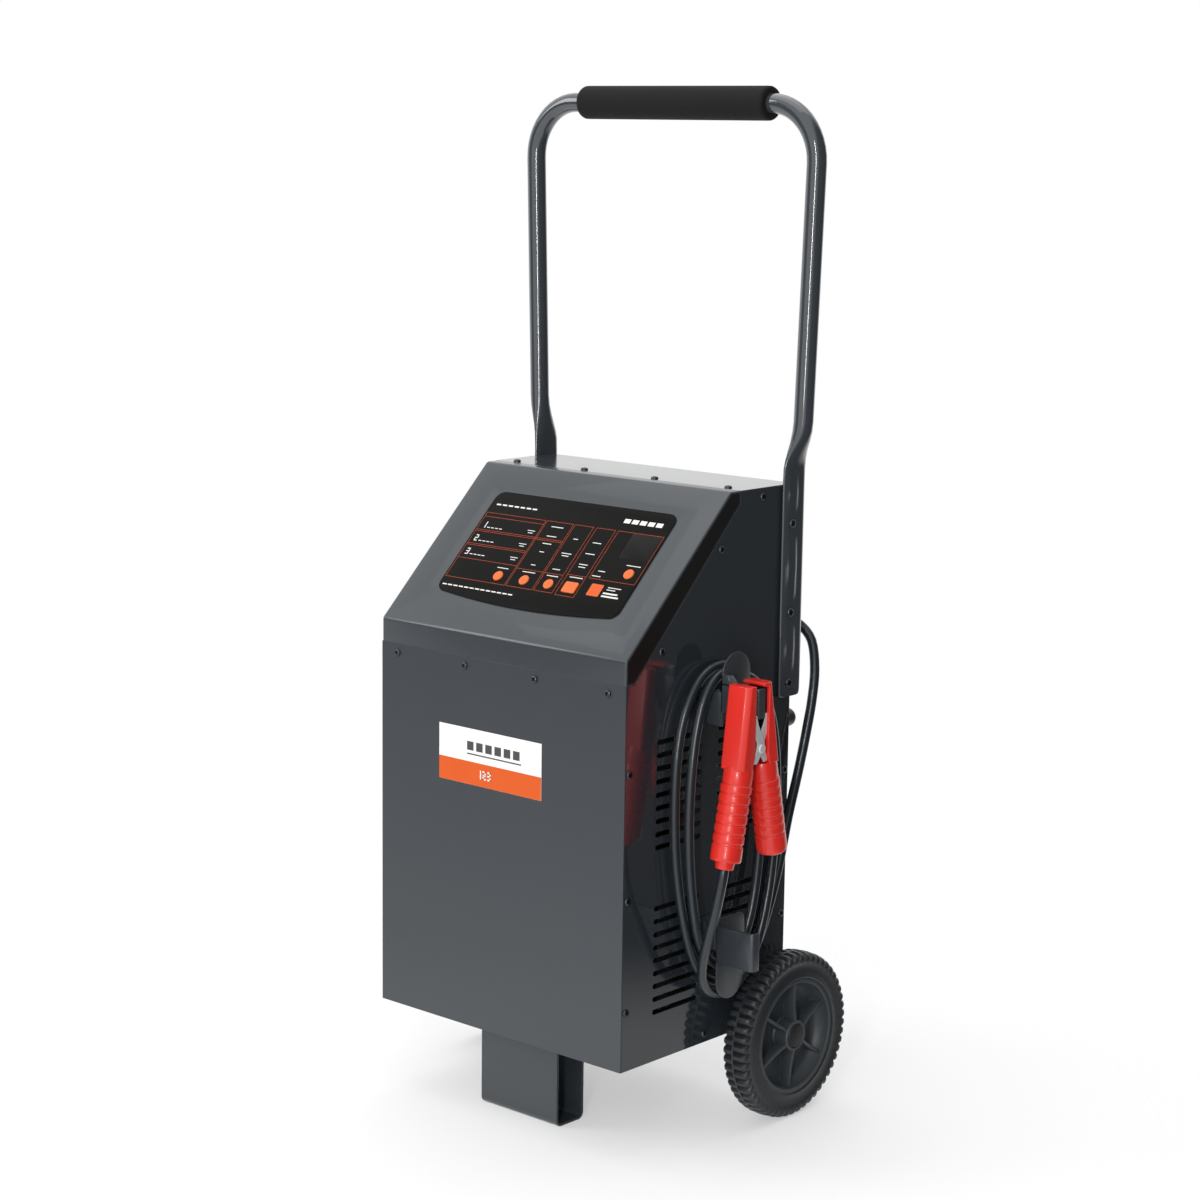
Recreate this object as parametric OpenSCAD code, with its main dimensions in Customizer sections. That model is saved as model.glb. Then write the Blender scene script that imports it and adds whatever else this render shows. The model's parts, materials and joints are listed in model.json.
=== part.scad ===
// Wheeled workshop battery charger: sheet steel case, tall tube handle, two wheels,
// a front foot, a clamp lead wound on side hooks, and its working parts inside.
// The origin is the middle of the front foot's underside, on the floor.
// +X is the charger's left-to-right seen from the front, +Y runs to the back, +Z is up.

/* [Case] */
// Width of the case
case_w = 330; // [320:1:340]
// Depth of the case, front to back
case_d = 252; // [248:1:256]
// Height of the case's lower edge above the floor
case_bottom = 94; // [94:1:96]
// Height of the seam between the front panel and the control hood
hood_seam = 474; // [470:1:478]
// Height where the hood turns from upright to sloping
hood_bend = 498; // [496:1:500]
// Height of the case's flat top
case_top = 645; // [643:1:647]
// Thickness of the case's sheet steel
sheet = 1.5; // [1.2:0.1:1.6]

/* [Wheels and foot] */
// Outer radius of a tyre
tyre_r = 85.5; // [84:0.5:87]
// Width of a tyre
tyre_w = 31; // [29:1:32]
// Radius of the wheel axle
axle_r = 8; // [7:0.5:8]
// Distance of the axle behind the foot's middle
axle_y = 172; // [170:1:174]
// Width of the front foot
foot_w = 105; // [95:1:115]
// Depth of the front foot
foot_d = 40; // [36:1:44]

/* [Handle] */
// Outer radius of the handle tube
tube_r = 10; // [9.5:0.1:10]
// Height of the middle of the handle's cross bar
bar_z = 1017; // [1000:1:1030]
// Half of the distance between the legs at the upper bends
leg_x = 186; // [182:1:188]
// Bend radius of the tube's centre line
bend_r = 56; // [50:1:60]
// Outward lean of the legs in degrees
leg_lean = 1.8; // [1.5:0.1:2]
// Outer radius of the foam grip
grip_r = 17; // [16:0.5:18]

/* [Controls] */
// Radius of a round push button
button_r = 5.8; // [5:0.1:6]
// Travel of every push button
button_travel = 1; // [0.6:0.1:1.2]

/* [Clamp lead] */
// Radius of the lead
lead_r = 5; // [4.5:0.1:5]
// Height of the clamp's pivot pin
clamp_z = 409; // [407:1:411]

/* [Hidden] */
$fn = 48;

half_w = case_w / 2;
front_y = -53;
back_y = front_y + case_d;
mid_y = (front_y + back_y) / 2;
gap = 0.2;                       // fitting gap between neighbouring sheets
hood_top_y = 98;                 // where the hood's slope meets its top flange
hood_end_y = 113;                // rear edge of the hood's top flange
slope = atan2(case_top - hood_bend, hood_top_y - front_y);
inner_x = half_w - sheet;        // inner face of a side panel
flange_d = 13;                   // depth of the returns along the case's upright edges
steel = [0.27, 0.29, 0.31];
black = [0.08, 0.08, 0.08];
orange = [0.93, 0.45, 0.13];
red = [0.86, 0.16, 0.13];
zinc = [0.72, 0.73, 0.74];

// ---- helpers -------------------------------------------------------------

module slab(x0, x1, y0, y1, z0, z1) {
    translate([x0, y0, z0]) cube([x1 - x0, y1 - y0, z1 - z0]);
}

// A profile drawn in (Y, Z), extruded from x0 to x1
module along_x(x0, x1) {
    translate([x0, 0, 0]) rotate([90, 0, 90]) linear_extrude(height = x1 - x0) children();
}

// A turned part about +X: its profile is drawn as (radius, x)
module turned_x(x, y, z) {
    translate([x, y, z]) rotate([0, 90, 0]) rotate_extrude() children();
}

module turned_y(x, y, z) {
    translate([x, y, z]) rotate([-90, 0, 0]) rotate_extrude() children();
}

module rod_x(x0, x1, y, z, r) {
    translate([x0, y, z]) rotate([0, 90, 0]) cylinder(r = r, h = x1 - x0);
}

module rod_y(x, y0, y1, z, r) {
    translate([x, y0, z]) rotate([-90, 0, 0]) cylinder(r = r, h = y1 - y0);
}

module rounded(w, h, r) {
    square([w - 2 * r, h], center = true);
    square([w, h - 2 * r], center = true);
    for (sx = [-1, 1], sy = [-1, 1])
        translate([sx * (w / 2 - r), sy * (h / 2 - r)]) circle(r = r);
}

// A screw head with a thread behind it, drawn along +Z from the sheet's face
module screw(head_r = 4, head_h = 2.2, thread_r = 1.9, thread_l = 6) {
    cylinder(r = head_r, h = head_h);
    translate([0, 0, -thread_l]) cylinder(r = thread_r, h = thread_l);
}

// The hood's sloping face: x across, s up the slope, z outwards from the face
module on_slope(x, s, z = 0) {
    translate([0, front_y, hood_bend]) rotate([slope, 0, 0]) translate([x, s, z]) children();
}

// ---- case ----------------------------------------------------------------

tray_x = inner_x - gap;
tray_y0 = front_y + sheet + gap;
tray_y1 = back_y - sheet - gap;
tray_lip = 14;

module base_tray() {
    color(steel) difference() {
        slab(-tray_x, tray_x, tray_y0, tray_y1, case_bottom, case_bottom + tray_lip);
        slab(-tray_x + sheet, tray_x - sheet, tray_y0 + sheet, tray_y1 - sheet,
             case_bottom + sheet, case_bottom + tray_lip + 1);
        for (x = [-120, 120], i = [0:4])
            translate([x, 30 + 16 * i, case_bottom]) linear_extrude(height = 8, center = true) rounded(50, 6, 2.9);
    }
}

front_screw_x = [-142.5, -47.5, 47.5, 142.5];
front_screw_z = hood_seam - 9.5;

module front_panel() {
    return_x = tray_x - sheet - gap;
    color(steel) difference() {
        union() {
            slab(-half_w, half_w, front_y, front_y + sheet, case_bottom, hood_seam - gap);
            for (s = [-1, 1]) {
                slab(min(s * return_x, s * (return_x - sheet)), max(s * return_x, s * (return_x - sheet)),
                     front_y + sheet / 2, front_y + sheet + flange_d,
                     case_bottom + tray_lip + 6, hood_seam - 4);
            }
        }
        for (x = front_screw_x) rod_y(x, front_y - 1, front_y + 5, front_screw_z, 1.9);
    }
}

// Outline of the hood's side flange, in (Y, Z)
stripe_drop = 12;
module hood_flange_outline(grow = 0) {
    polygon([[front_y, hood_seam - grow], [front_y + stripe_drop + grow, hood_seam - grow],
             [front_y + 16 + grow, hood_seam + 3.5 - grow], [hood_end_y + grow, case_top - 13.5 - grow],
             [hood_end_y + grow, case_top], [hood_top_y, case_top], [front_y, hood_bend]]);
}

vent_pitch = 13;
vent_rows = 9;
vent_l = 68;
vent_h = 5.4;
vent_y = [mid_y - 46, mid_y + 46];
vent_z = [144, 309];

module vent_slots() {
    for (z0 = vent_z, i = [0:vent_rows - 1], y = vent_y)
        translate([y, z0 + i * vent_pitch]) rounded(vent_l, vent_h, 2.65);
}

module side_outline() {
    difference() {
        polygon([[front_y + sheet + gap, case_bottom], [back_y, case_bottom],
                 [back_y, case_top - sheet - gap], [front_y + sheet + gap, case_top - sheet - gap]]);
        hood_flange_outline(gap);
        polygon([[front_y, hood_bend - 1], [hood_top_y, case_top - 1], [hood_end_y + gap, case_top - 1],
                 [hood_end_y + gap, case_top + 9], [front_y - 9, case_top + 9], [front_y - 9, hood_bend - 1]]);
    }
}

// Places of the side screws, in (Y, Z)
side_screw_at = [[-46.5, 388], [-46.5, 264], [-46.5, 153], [193, 353], [193, 202], [73, 103],
    [147.5, 636], [84.5, 590], [-2, 501]];
// Places of the screws that hold a handle end
handle_screw_at = [[188, 606], [188, 516], [188, 444]];

module side_sheet(x0, x1) {
    color(steel) difference() {
        along_x(x0, x1) difference() {
            side_outline();
            vent_slots();
        }
        for (p = side_screw_at) rod_x(min(x0, x1) - 1, max(x0, x1) + 1, p[0], p[1], 1.9);
        for (p = handle_screw_at) rod_x(min(x0, x1) - 1, max(x0, x1) + 1, p[0], p[1], 2.4);
    }
}

module right_side_panel() {
    side_sheet(inner_x, half_w);
}

module left_side_panel() {
    side_sheet(-half_w, -inner_x);
}

fan_x = -60;
fan_z = 270;
fan_r = 43;
positive_at = [140, 499];        // (X, Z) of the red clamp's gland
negative_at = [104, 499];
mains_at = [143, 399];

module back_panel() {
    return_x = tray_x - sheet - gap;
    color(steel) difference() {
        union() {
            slab(-tray_x, tray_x, back_y - sheet, back_y, case_bottom, case_top - sheet - gap);
            for (s = [-1, 1]) {
                slab(min(s * return_x, s * (return_x - sheet)), max(s * return_x, s * (return_x - sheet)),
                     back_y - sheet - flange_d, back_y - sheet / 2,
                     case_bottom + tray_lip + 6, case_top - 8);
            }
        }
        for (i = [-3:3]) {
            length = 2 * sqrt(pow(fan_r - 3, 2) - pow(i * 11, 2));
            translate([fan_x, back_y, fan_z + i * 11]) rotate([90, 0, 0])
                linear_extrude(height = 8, center = true) rounded(length, 5.4, 2.65);
        }
        for (p = [positive_at, negative_at]) rod_y(p[0], back_y - 4, back_y + 4, p[1], 8);
        rod_y(mains_at[0], back_y - 4, back_y + 4, mains_at[1], 7);
        for (p = back_screw_at) rod_y(p[0], back_y - 4, back_y + 4, p[1], 1.9);
    }
}

module top_cover() {
    color([0.78, 0.8, 0.82]) difference() {
        union() {
            slab(-half_w, half_w, hood_end_y + gap, back_y, case_top - sheet, case_top);
            slab(-tray_x + 6, tray_x - 6, back_y - 2 * sheet - gap, back_y - sheet - gap,
                 case_top - 12, case_top - sheet / 2);
        }
        for (x = front_screw_x) translate([x, top_screw_y, case_top]) cylinder(r = 1.9, h = 8, center = true);
    }
}

// ---- control hood --------------------------------------------------------

recess_w = 250;
recess_h = 138;
recess_s = 110;
recess_deep = 1.2;
overlay_w = 243;
overlay_h = 131;
overlay_t = 1;
button_hole_r = button_r + 0.5;
start_w = 17;
start_h = 13;
// Round buttons as (x, s) on the slope
round_at = [[-52, 72], [-16.5, 72], [16.5, 72], [105, 98]];
start_at = [45.5, 72];
display_at = [99, 131];
display_w = 40;
display_h = 34;

module button_holes(extra = 0) {
    for (p = round_at) on_slope(p[0], p[1], -20) cylinder(r = button_hole_r + extra, h = 30);
    on_slope(start_at[0], start_at[1], -20)
        linear_extrude(height = 30) rounded(start_w + 1 + 2 * extra, start_h + 1 + 2 * extra, 2.5);
}

module control_hood() {
    t = sheet;
    color(steel) difference() {
        union() {
            along_x(-half_w, half_w) polygon([
                [front_y, hood_seam], [front_y, hood_bend], [hood_top_y, case_top], [hood_end_y, case_top],
                [hood_end_y, case_top - t], [hood_top_y + t * 0.41, case_top - t],
                [front_y + t, hood_bend - t * 0.41], [front_y + t, hood_seam]]);
            for (x = [inner_x, -half_w]) along_x(x, x + t) hood_flange_outline();
            on_slope(0, recess_s, -recess_deep - t)
                linear_extrude(height = recess_deep + t / 2) rounded(recess_w + 4, recess_h + 4, 15);
            slab(-tray_x + 6, tray_x - 6, hood_end_y - 8, hood_end_y + 22, case_top - 2 * t - gap, case_top - t - gap);
            slab(-tray_x + 6, tray_x - 6, hood_end_y - 8, hood_end_y - 2, case_top - 2 * t - gap, case_top - t / 2);
        }
        on_slope(0, recess_s, -recess_deep) linear_extrude(height = 5) rounded(recess_w, recess_h, 13);
        button_holes();
        on_slope(display_at[0], display_at[1], -20)
            linear_extrude(height = 30) rounded(display_w - 4, display_h - 4, 2);
        for (x = front_screw_x) translate([x, top_screw_y, case_top]) cylinder(r = 1.9, h = 12, center = true);
    }
}

// Black films on both side flanges of the hood
film = 0.3;
module hood_stripes() {
    color(black) for (x = [half_w, -half_w - film]) along_x(x, x + film) hood_flange_outline();
}

module keypad_overlay() {
    color(black) difference() {
        on_slope(0, recess_s, -recess_deep) linear_extrude(height = overlay_t) rounded(overlay_w, overlay_h, 11);
        button_holes(-0.1);
        on_slope(display_at[0], display_at[1], -20) linear_extrude(height = 30) rounded(display_w - 2, display_h - 2, 2);
    }
}

module display_window() {
    color([0.15, 0.05, 0.03]) on_slope(display_at[0], display_at[1], -recess_deep)
        linear_extrude(height = overlay_t) rounded(display_w - 2, display_h - 2, 2);
}

module round_button(i) {
    color(orange) on_slope(round_at[i][0], round_at[i][1], -recess_deep) {
        cylinder(r = button_r, h = recess_deep + 0.8);
        translate([0, 0, -5]) cylinder(r = 2.5, h = 5.5);
    }
}

module button_rate() { round_button(0); }
module button_mode() { round_button(1); }
module button_type() { round_button(2); }
module button_test() { round_button(3); }

module button_start() {
    color(orange) on_slope(start_at[0], start_at[1], -recess_deep) {
        linear_extrude(height = recess_deep + 0.8) rounded(start_w, start_h, 2);
        translate([0, 0, -5]) cylinder(r = 2.5, h = 5.5);
    }
}

module front_label() {
    color([0.95, 0.95, 0.95]) slab(-82, 58, front_y - 0.5, front_y, 345, 402);
}

// ---- screws of the case --------------------------------------------------

top_screw_y = 121;
back_screw_at = [[-150, 620], [0, 620], [150, 620], [-150, 130], [150, 130], [-150, 440], [150, 300]];

module front_screws() {
    color(black) for (x = front_screw_x)
        translate([x, front_y, front_screw_z]) rotate([90, 0, 0]) screw();
}

module top_screws() {
    color(black) for (x = front_screw_x) translate([x, top_screw_y, case_top]) screw(4.6, 2.8);
}

module side_screws() {
    color(black) for (s = [-1, 1], p = side_screw_at)
        translate([s * half_w, p[0], p[1]]) rotate([0, s * 90, 0]) screw(2.8, 1.5, 1.9, sheet);
}

module back_screws() {
    color(black) for (p = back_screw_at)
        translate([p[0], back_y, p[1]]) rotate([-90, 0, 0]) screw(3.4, 2, 1.9, sheet);
}

// ---- electronics behind the hood -----------------------------------------

board_z = -14;                   // front face of the board, below the slope's face

module control_board() {
    color([0.1, 0.35, 0.2]) on_slope(0, 108, board_z - 1.6)
        linear_extrude(height = 1.6) difference() {
            square([236, 118], center = true);
            for (x = [-110, 110], y = [-52, 52]) translate([x, y]) circle(r = 1.7);
        }
}

module board_spacers() {
    color(zinc) for (x = [-110, 110], y = [-52, 52])
        on_slope(x, 108 + y, board_z) difference() {
            cylinder(r = 3.5, h = -board_z - recess_deep - sheet);
            translate([0, 0, -1]) cylinder(r = 1.5, h = 12);
        }
}

module button_switches() {
    color(black) for (p = concat(round_at, [start_at])) on_slope(p[0], p[1], board_z) {
        translate([-3, -3, 0]) cube([6, 6, 4]);
        cylinder(r = 1.7, h = -board_z - recess_deep - 5 - button_travel - 0.3);
    }
}

module display_module() {
    color([0.9, 0.9, 0.88]) on_slope(display_at[0], display_at[1], board_z)
        linear_extrude(height = -board_z - recess_deep - 0.6) square([34, 28], center = true);
}

// ---- power parts ---------------------------------------------------------

core_x = 0;
core_y = 75;
core_z0 = case_bottom + sheet + 3;
core_w = 150;
core_d = 60;
core_h = 130;
core_limb = 25;

module transformer_core() {
    color([0.35, 0.35, 0.37]) difference() {
        slab(core_x - core_w / 2, core_x + core_w / 2, core_y - core_d / 2, core_y + core_d / 2,
             core_z0, core_z0 + core_h);
        for (s = [-1, 1])
            translate([core_x + s * core_w / 4, core_y, core_z0 + core_h / 2])
                cube([core_w / 2 - core_limb * 1.5, core_d + 2, core_h - 2 * core_limb], center = true);
    }
}

module coil(outer_w, outer_d, z0, z1) {
    difference() {
        translate([core_x, core_y, z0]) linear_extrude(height = z1 - z0) rounded(outer_w, outer_d, 10);
        translate([core_x, core_y, z0 - 1]) linear_extrude(height = z1 - z0 + 2)
            square([core_limb * 1.5 + 0.6, core_d + 0.6], center = true);
    }
}

module transformer_coils() {
    low = core_z0 + core_limb + 1;
    high = core_z0 + core_h - core_limb - 1;
    color([0.7, 0.35, 0.15]) {
        coil(98, 128, low, low + 36);
        coil(98, 120, low + 40, high);
    }
}

module transformer_brackets() {
    color(zinc) for (s = [-1, 1]) {
        y = core_y + s * (core_d / 2 + 1.25);
        slab(core_x - 75, core_x + 75, y - 1.25, y + 1.25, case_bottom + sheet, core_z0 + core_limb - 2);
        slab(core_x - 75, core_x + 75, min(y, y + s * 22), max(y, y + s * 22),
             case_bottom + sheet, case_bottom + sheet + 2.5);
    }
}

module rectifier_heatsink() {
    color([0.75, 0.76, 0.78]) {
        slab(-70, 70, 0, 6, 290, 370);
        for (i = [0:13]) slab(-69 + i * 10.4, -67 + i * 10.4, 5, 34, 290, 370);
        for (x = [-70, 58]) slab(x, x + 12, 0, 2, case_bottom + sheet, 291);
    }
}

module rectifier_diodes() {
    color(zinc) for (x = [-52, -18, 18, 52]) {
        translate([x, 0, 330]) rotate([90, 0, 0]) cylinder(r = 9, h = 9, $fn = 6);
        translate([x, -8.5, 330]) rotate([90, 0, 0]) cylinder(r = 6, h = 8);
        translate([x, -16, 330]) rotate([90, 0, 0]) cylinder(r = 2.5, h = 12);
    }
}

module power_relay() {
    color([0.12, 0.2, 0.45]) slab(-157, -117, 60, 102, 440, 485);
    color(zinc) slab(-inner_x, -157, 66, 96, 436, 489);
}

module terminal_block() {
    color([0.9, 0.88, 0.8]) difference() {
        slab(70, 132, fan_back - 24, fan_back - 2, 320, 338);
        for (i = [0:4]) translate([77 + i * 12, fan_back - 13, 339]) cylinder(r = 3, h = 12, center = true);
    }
    color(zinc) slab(66, 136, fan_back - 2, fan_back, 316, 342);
}

fan_back = back_y - sheet;
fan_t = 25;
shaft_r = 2.5;

module fan_frame() {
    color([0.1, 0.1, 0.11]) {
        difference() {
            slab(fan_x - 46, fan_x + 46, fan_back - fan_t, fan_back, fan_z - 46, fan_z + 46);
            rod_y(fan_x, fan_back - fan_t - 1, fan_back + 1, fan_z, fan_r);
            for (x = [-41, 41], z = [-41, 41]) rod_y(fan_x + x, fan_back - fan_t - 1, fan_back + 1, fan_z + z, 2.2);
        }
        rod_y(fan_x, fan_back - 4, fan_back, fan_z, 17);
        slab(fan_x - fan_r - 2, fan_x + fan_r + 2, fan_back - 3.2, fan_back - 0.6, fan_z - 2, fan_z + 2);
        slab(fan_x - 2, fan_x + 2, fan_back - 3.2, fan_back - 0.6, fan_z - fan_r - 2, fan_z + fan_r + 2);
        rod_y(fan_x, fan_back - 22, fan_back - 3, fan_z, shaft_r);
    }
}

module fan_rotor() {
    color([0.16, 0.16, 0.18]) difference() {
        union() {
            rod_y(fan_x, fan_back - 23, fan_back - 5, fan_z, 16);
            for (a = [0:360 / 7:359])
                translate([fan_x, fan_back - 14, fan_z]) rotate([0, a, 0])
                    translate([15, 0, 0]) rotate([-38, 0, 0]) translate([0, -9.5, -1]) cube([25.5, 19, 2]);
        }
        rod_y(fan_x, fan_back - 24, fan_back - 4, fan_z, shaft_r + 0.05);
    }
}

// ---- foot, axle and wheels -----------------------------------------------

foot_t = 2.5;
foot_bend = 7;
foot_top = case_bottom;

module foot_section(d, low, r) {
    translate([-d / 2, low + r]) square([d, foot_top - low - r]);
    translate([-d / 2 + r, low]) square([d - 2 * r, r + 1]);
    for (s = [-1, 1]) translate([s * (d / 2 - r), low + r]) circle(r = r);
}

module front_foot() {
    color(steel) {
        difference() {
            along_x(-foot_w / 2, foot_w / 2) foot_section(foot_d, 0, foot_bend);
            along_x(-foot_w / 2 - 1, foot_w / 2 + 1) union() {
                foot_section(foot_d - 2 * foot_t, foot_t, foot_bend - foot_t);
                translate([-foot_d / 2 + foot_t, 50]) square([foot_d - 2 * foot_t, 60]);
            }
        }
        for (s = [-1, 1])
            slab(-foot_w / 2, foot_w / 2, min(s * (foot_d / 2 - foot_t), s * (foot_d / 2 + 14)),
                 max(s * (foot_d / 2 - foot_t), s * (foot_d / 2 + 14)), foot_top - foot_t, foot_top);
    }
}

wheel_z = tyre_r;
wheel_out = 206.5;               // outer face of a tyre
wheel_in = wheel_out - tyre_w;
hub_in = 173;
rim_r = 60;
running = 0.05;                  // radial clearance of the wheel on its axle
bracket_x = 148;

module axle() {
    color(zinc) rod_x(-200, 200, axle_y, wheel_z, axle_r);
}

module axle_brackets() {
    color(steel) for (s = [-1, 1]) difference() {
        union() {
            slab(min(s * bracket_x, s * (bracket_x + 3)), max(s * bracket_x, s * (bracket_x + 3)),
                 axle_y - 20, axle_y + 20, wheel_z - 14, case_bottom);
            slab(min(s * (bracket_x - 20), s * (bracket_x + 3)), max(s * (bracket_x - 20), s * (bracket_x + 3)),
                 axle_y - 20, axle_y - axle_r - 2, case_bottom - 3, case_bottom);
            slab(min(s * (bracket_x - 20), s * (bracket_x + 3)), max(s * (bracket_x - 20), s * (bracket_x + 3)),
                 axle_y + axle_r + 2, axle_y + 20, case_bottom - 3, case_bottom);
        }
        rod_x(-200, 200, axle_y, wheel_z, axle_r);
    }
}

module axle_spacers() {
    length = hub_in - 0.4 - half_w - 0.3;
    color(zinc) for (x = [half_w + 0.3, -hub_in + 0.4]) difference() {
        rod_x(x, x + length, axle_y, wheel_z, 12);
        rod_x(x - 1, x + length + 1, axle_y, wheel_z, axle_r);
    }
}

// Right wheel; the left one is its mirror image
module tyre() {
    color([0.15, 0.15, 0.16]) translate([0, axle_y, wheel_z]) rotate([0, 90, 0]) rotate_extrude($fn = 96)
        polygon([[rim_r, wheel_in + 2], [rim_r + 10, wheel_in], [tyre_r - 8, wheel_in], [tyre_r - 2, wheel_in + 4],
                 [tyre_r, wheel_in + 10], [tyre_r, wheel_out - 10], [tyre_r - 2, wheel_out - 4],
                 [tyre_r - 8, wheel_out], [rim_r + 10, wheel_out], [rim_r, wheel_out - 2]]);
}

module rim() {
    color([0.2, 0.21, 0.22]) {
        turned_x(0, axle_y, wheel_z) polygon([
            [axle_r + running, hub_in], [16, hub_in], [16, 186], [54, 186], [54, wheel_in + 2],
            [rim_r, wheel_in + 2], [rim_r, wheel_out - 2], [rim_r - 1, wheel_out - 0.5], [55, wheel_out - 0.5],
            [53, 190], [16, 190], [16, wheel_out - 1.5], [12.4, wheel_out - 1.5], [12.4, 203.4],
            [10.4, 203.4], [10.4, 200.6], [axle_r + running, 200.6]]);
        for (a = [27:60:359])
            translate([0, axle_y, wheel_z]) rotate([a, 0, 0])
                along_x(188, wheel_out - 3) translate([14, -2.2]) square([41, 4.4]);
    }
}

module hub_cap() {
    color(black) turned_x(0, axle_y, wheel_z)
        polygon([[0, 204], [12, 204], [12, wheel_out - 0.6], [9, wheel_out + 0.2], [0, wheel_out + 0.4]]);
}

module right_tyre() { tyre(); }
module right_rim() { rim(); }
module right_hub_cap() { hub_cap(); }
module left_tyre() { mirror([1, 0, 0]) tyre(); }
module left_rim() { mirror([1, 0, 0]) rim(); }
module left_hub_cap() { mirror([1, 0, 0]) hub_cap(); }

// ---- handle --------------------------------------------------------------

leg_y = 193;
strip_w = 34;
strip_t = 6;
strip_z0 = 430;
strip_z1 = 663;
tube_z0 = 703;                   // where the round tube begins above the flattened end
bend_x = leg_x - bend_r;
bend_z = bar_z - bend_r;
leg_top_x = bend_x + bend_r * cos(leg_lean);
leg_top_z = bend_z - bend_r * sin(leg_lean);
leg_len = (leg_top_z - tube_z0) / cos(leg_lean);

module leg() {
    translate([bend_x, leg_y, bend_z]) rotate([90, 0, 0]) rotate([0, 0, -leg_lean])
        rotate_extrude(angle = 90 + leg_lean) translate([bend_r, 0]) circle(r = tube_r);
    translate([leg_top_x, leg_y, leg_top_z]) rotate([0, leg_lean, 0])
        translate([0, 0, -leg_len]) cylinder(r = tube_r, h = leg_len);
    hull() {
        translate([leg_top_x, leg_y, leg_top_z]) rotate([0, leg_lean, 0])
            translate([0, 0, -leg_len]) cylinder(r = tube_r - 0.2, h = 1, $fn = 12);
        translate([half_w + 0.4, leg_y - strip_w / 2 + 0.6, strip_z1 - 1])
            cube([strip_t - 0.8, strip_w - 1.2, 1]);
    }
    difference() {
        translate([half_w + strip_t / 2, leg_y, strip_z0]) linear_extrude(height = strip_z1 - strip_z0)
            rounded(strip_t, strip_w, 1.5);
        for (p = handle_screw_at) rod_x(half_w - 2, half_w + strip_t + 2, p[0], p[1], 2.4);
    }
}

module handle_tube() {
    color(steel) {
        leg();
        mirror([1, 0, 0]) leg();
        rod_x(-bend_x, bend_x, leg_y, bar_z, tube_r);
    }
}

grip_x0 = -116;
grip_x1 = 129;

module foam_grip() {
    color(black) turned_x(0, leg_y, bar_z) polygon([
        [tube_r, grip_x0], [tube_r + 3, grip_x0], [grip_r - 1.5, grip_x0 + 4], [grip_r, grip_x0 + 8],
        [grip_r, grip_x1 - 8], [grip_r - 1.5, grip_x1 - 4], [tube_r + 3, grip_x1], [tube_r, grip_x1]]);
}

module handle_screws() {
    color(black) for (s = [-1, 1], p = handle_screw_at)
        translate([s * (half_w + strip_t), p[0], p[1]]) rotate([0, s * 90, 0]) screw(4.6, 2.6, 2.4, strip_t + sheet);
}

// ---- cable hooks ---------------------------------------------------------

hook_t = 3;
hook_y = 53;
arm_end = 240;                   // outer face of the hooks' lips
tab_x = 194;
tab_t = 2;
tab_w = 42;
tab_y = hook_y + tab_w / 2;
hook_foot = 2;                   // thickness of the plates that hold the hooks on the side panel
hook_screw_y = tab_y + 6;
hook_screw_z = [434, 450, 206, 219];

// One hook: inner and outer arm, divider tab and lip; the tab's outline is the child
module hook(inner_z, outer_z, tab_side_z) {
    color(steel) {
        difference() {
            slab(half_w, half_w + hook_foot, hook_y, hook_y + tab_w, inner_z[0], inner_z[1]);
            for (z = hook_screw_z) rod_x(half_w - 1, half_w + 5, hook_screw_y, z, 1.5);
        }
        slab(half_w, tab_x + tab_t, hook_y, hook_y + hook_t, inner_z[0], inner_z[1]);
        translate([0, hook_y + hook_t, 0]) rotate([90, 0, 0]) linear_extrude(height = hook_t)
            polygon([[tab_x, outer_z[0]], [arm_end, outer_z[0]], [arm_end, outer_z[1]],
                     [tab_x + 20, outer_z[1]], [tab_x + 12, tab_side_z], [tab_x, tab_side_z]]);
        slab(arm_end - hook_t, arm_end, hook_y, hook_y + 11, outer_z[0], outer_z[1]);
        along_x(tab_x, tab_x + tab_t) children();
    }
}

module upper_cable_hook() {
    hook([424, 458], [438, 467], 476) union() {
        translate([hook_y, 431]) square([tab_w, 43]);
        translate([tab_y, 474]) circle(r = tab_w / 2);
    }
}

module lower_cable_hook() {
    hook([200, 225], [187, 225], 225) union() {
        translate([hook_y, 168]) square([tab_w, 56]);
        translate([hook_y + 8, 200]) square([tab_w - 16, 32]);
        for (s = [-1, 1]) translate([tab_y + s * (tab_w / 2 - 8), 224]) circle(r = 8);
        translate([tab_y, 168]) circle(r = tab_w / 2);
    }
}

module hook_screws() {
    color(zinc) for (z = hook_screw_z)
        translate([half_w + hook_foot, hook_screw_y, z]) rotate([0, 90, 0]) screw(3, 1.6, 1.5, hook_foot);
}

// ---- sizes of the clamp --------------------------------------------------

clamp_x = 228;
clamp_y = 58.5;
guard_w = 27;
jaw_in = 5.9;                    // from the middle plane to the tips of a jaw's teeth
jaw_t = 1.5;
tooth = 2.4;
pin_r = 3;
handle_tilt = 11.6;
handle_top = [18.3, -21];
handle_len = 87;
rear_handle_len = 93;
boot_len = 8;
handle_end = [handle_top[0] + handle_len * sin(handle_tilt), handle_top[1] - handle_len * cos(handle_tilt)];
boot_end_y = clamp_y - handle_end[0] - boot_len * sin(handle_tilt);
boot_end_z = clamp_z + handle_end[1] - boot_len * cos(handle_tilt);

// ---- glands and lead -----------------------------------------------------

gland_l = 20;
gland_nose = 0.5;

module lead_gland(x, z) {
    turned_y(x, back_y, z) difference() {
        polygon([[0, -6], [7.9, -6], [7.9, 0], [13, 0], [13, 6], [11, 8], [lead_r + 2, gland_l], [0, gland_l]]);
        translate([-1, gland_l - gland_nose]) square([lead_r + 1, 2]);
    }
}

module positive_gland() { color(black) lead_gland(positive_at[0], positive_at[1]); }

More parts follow.
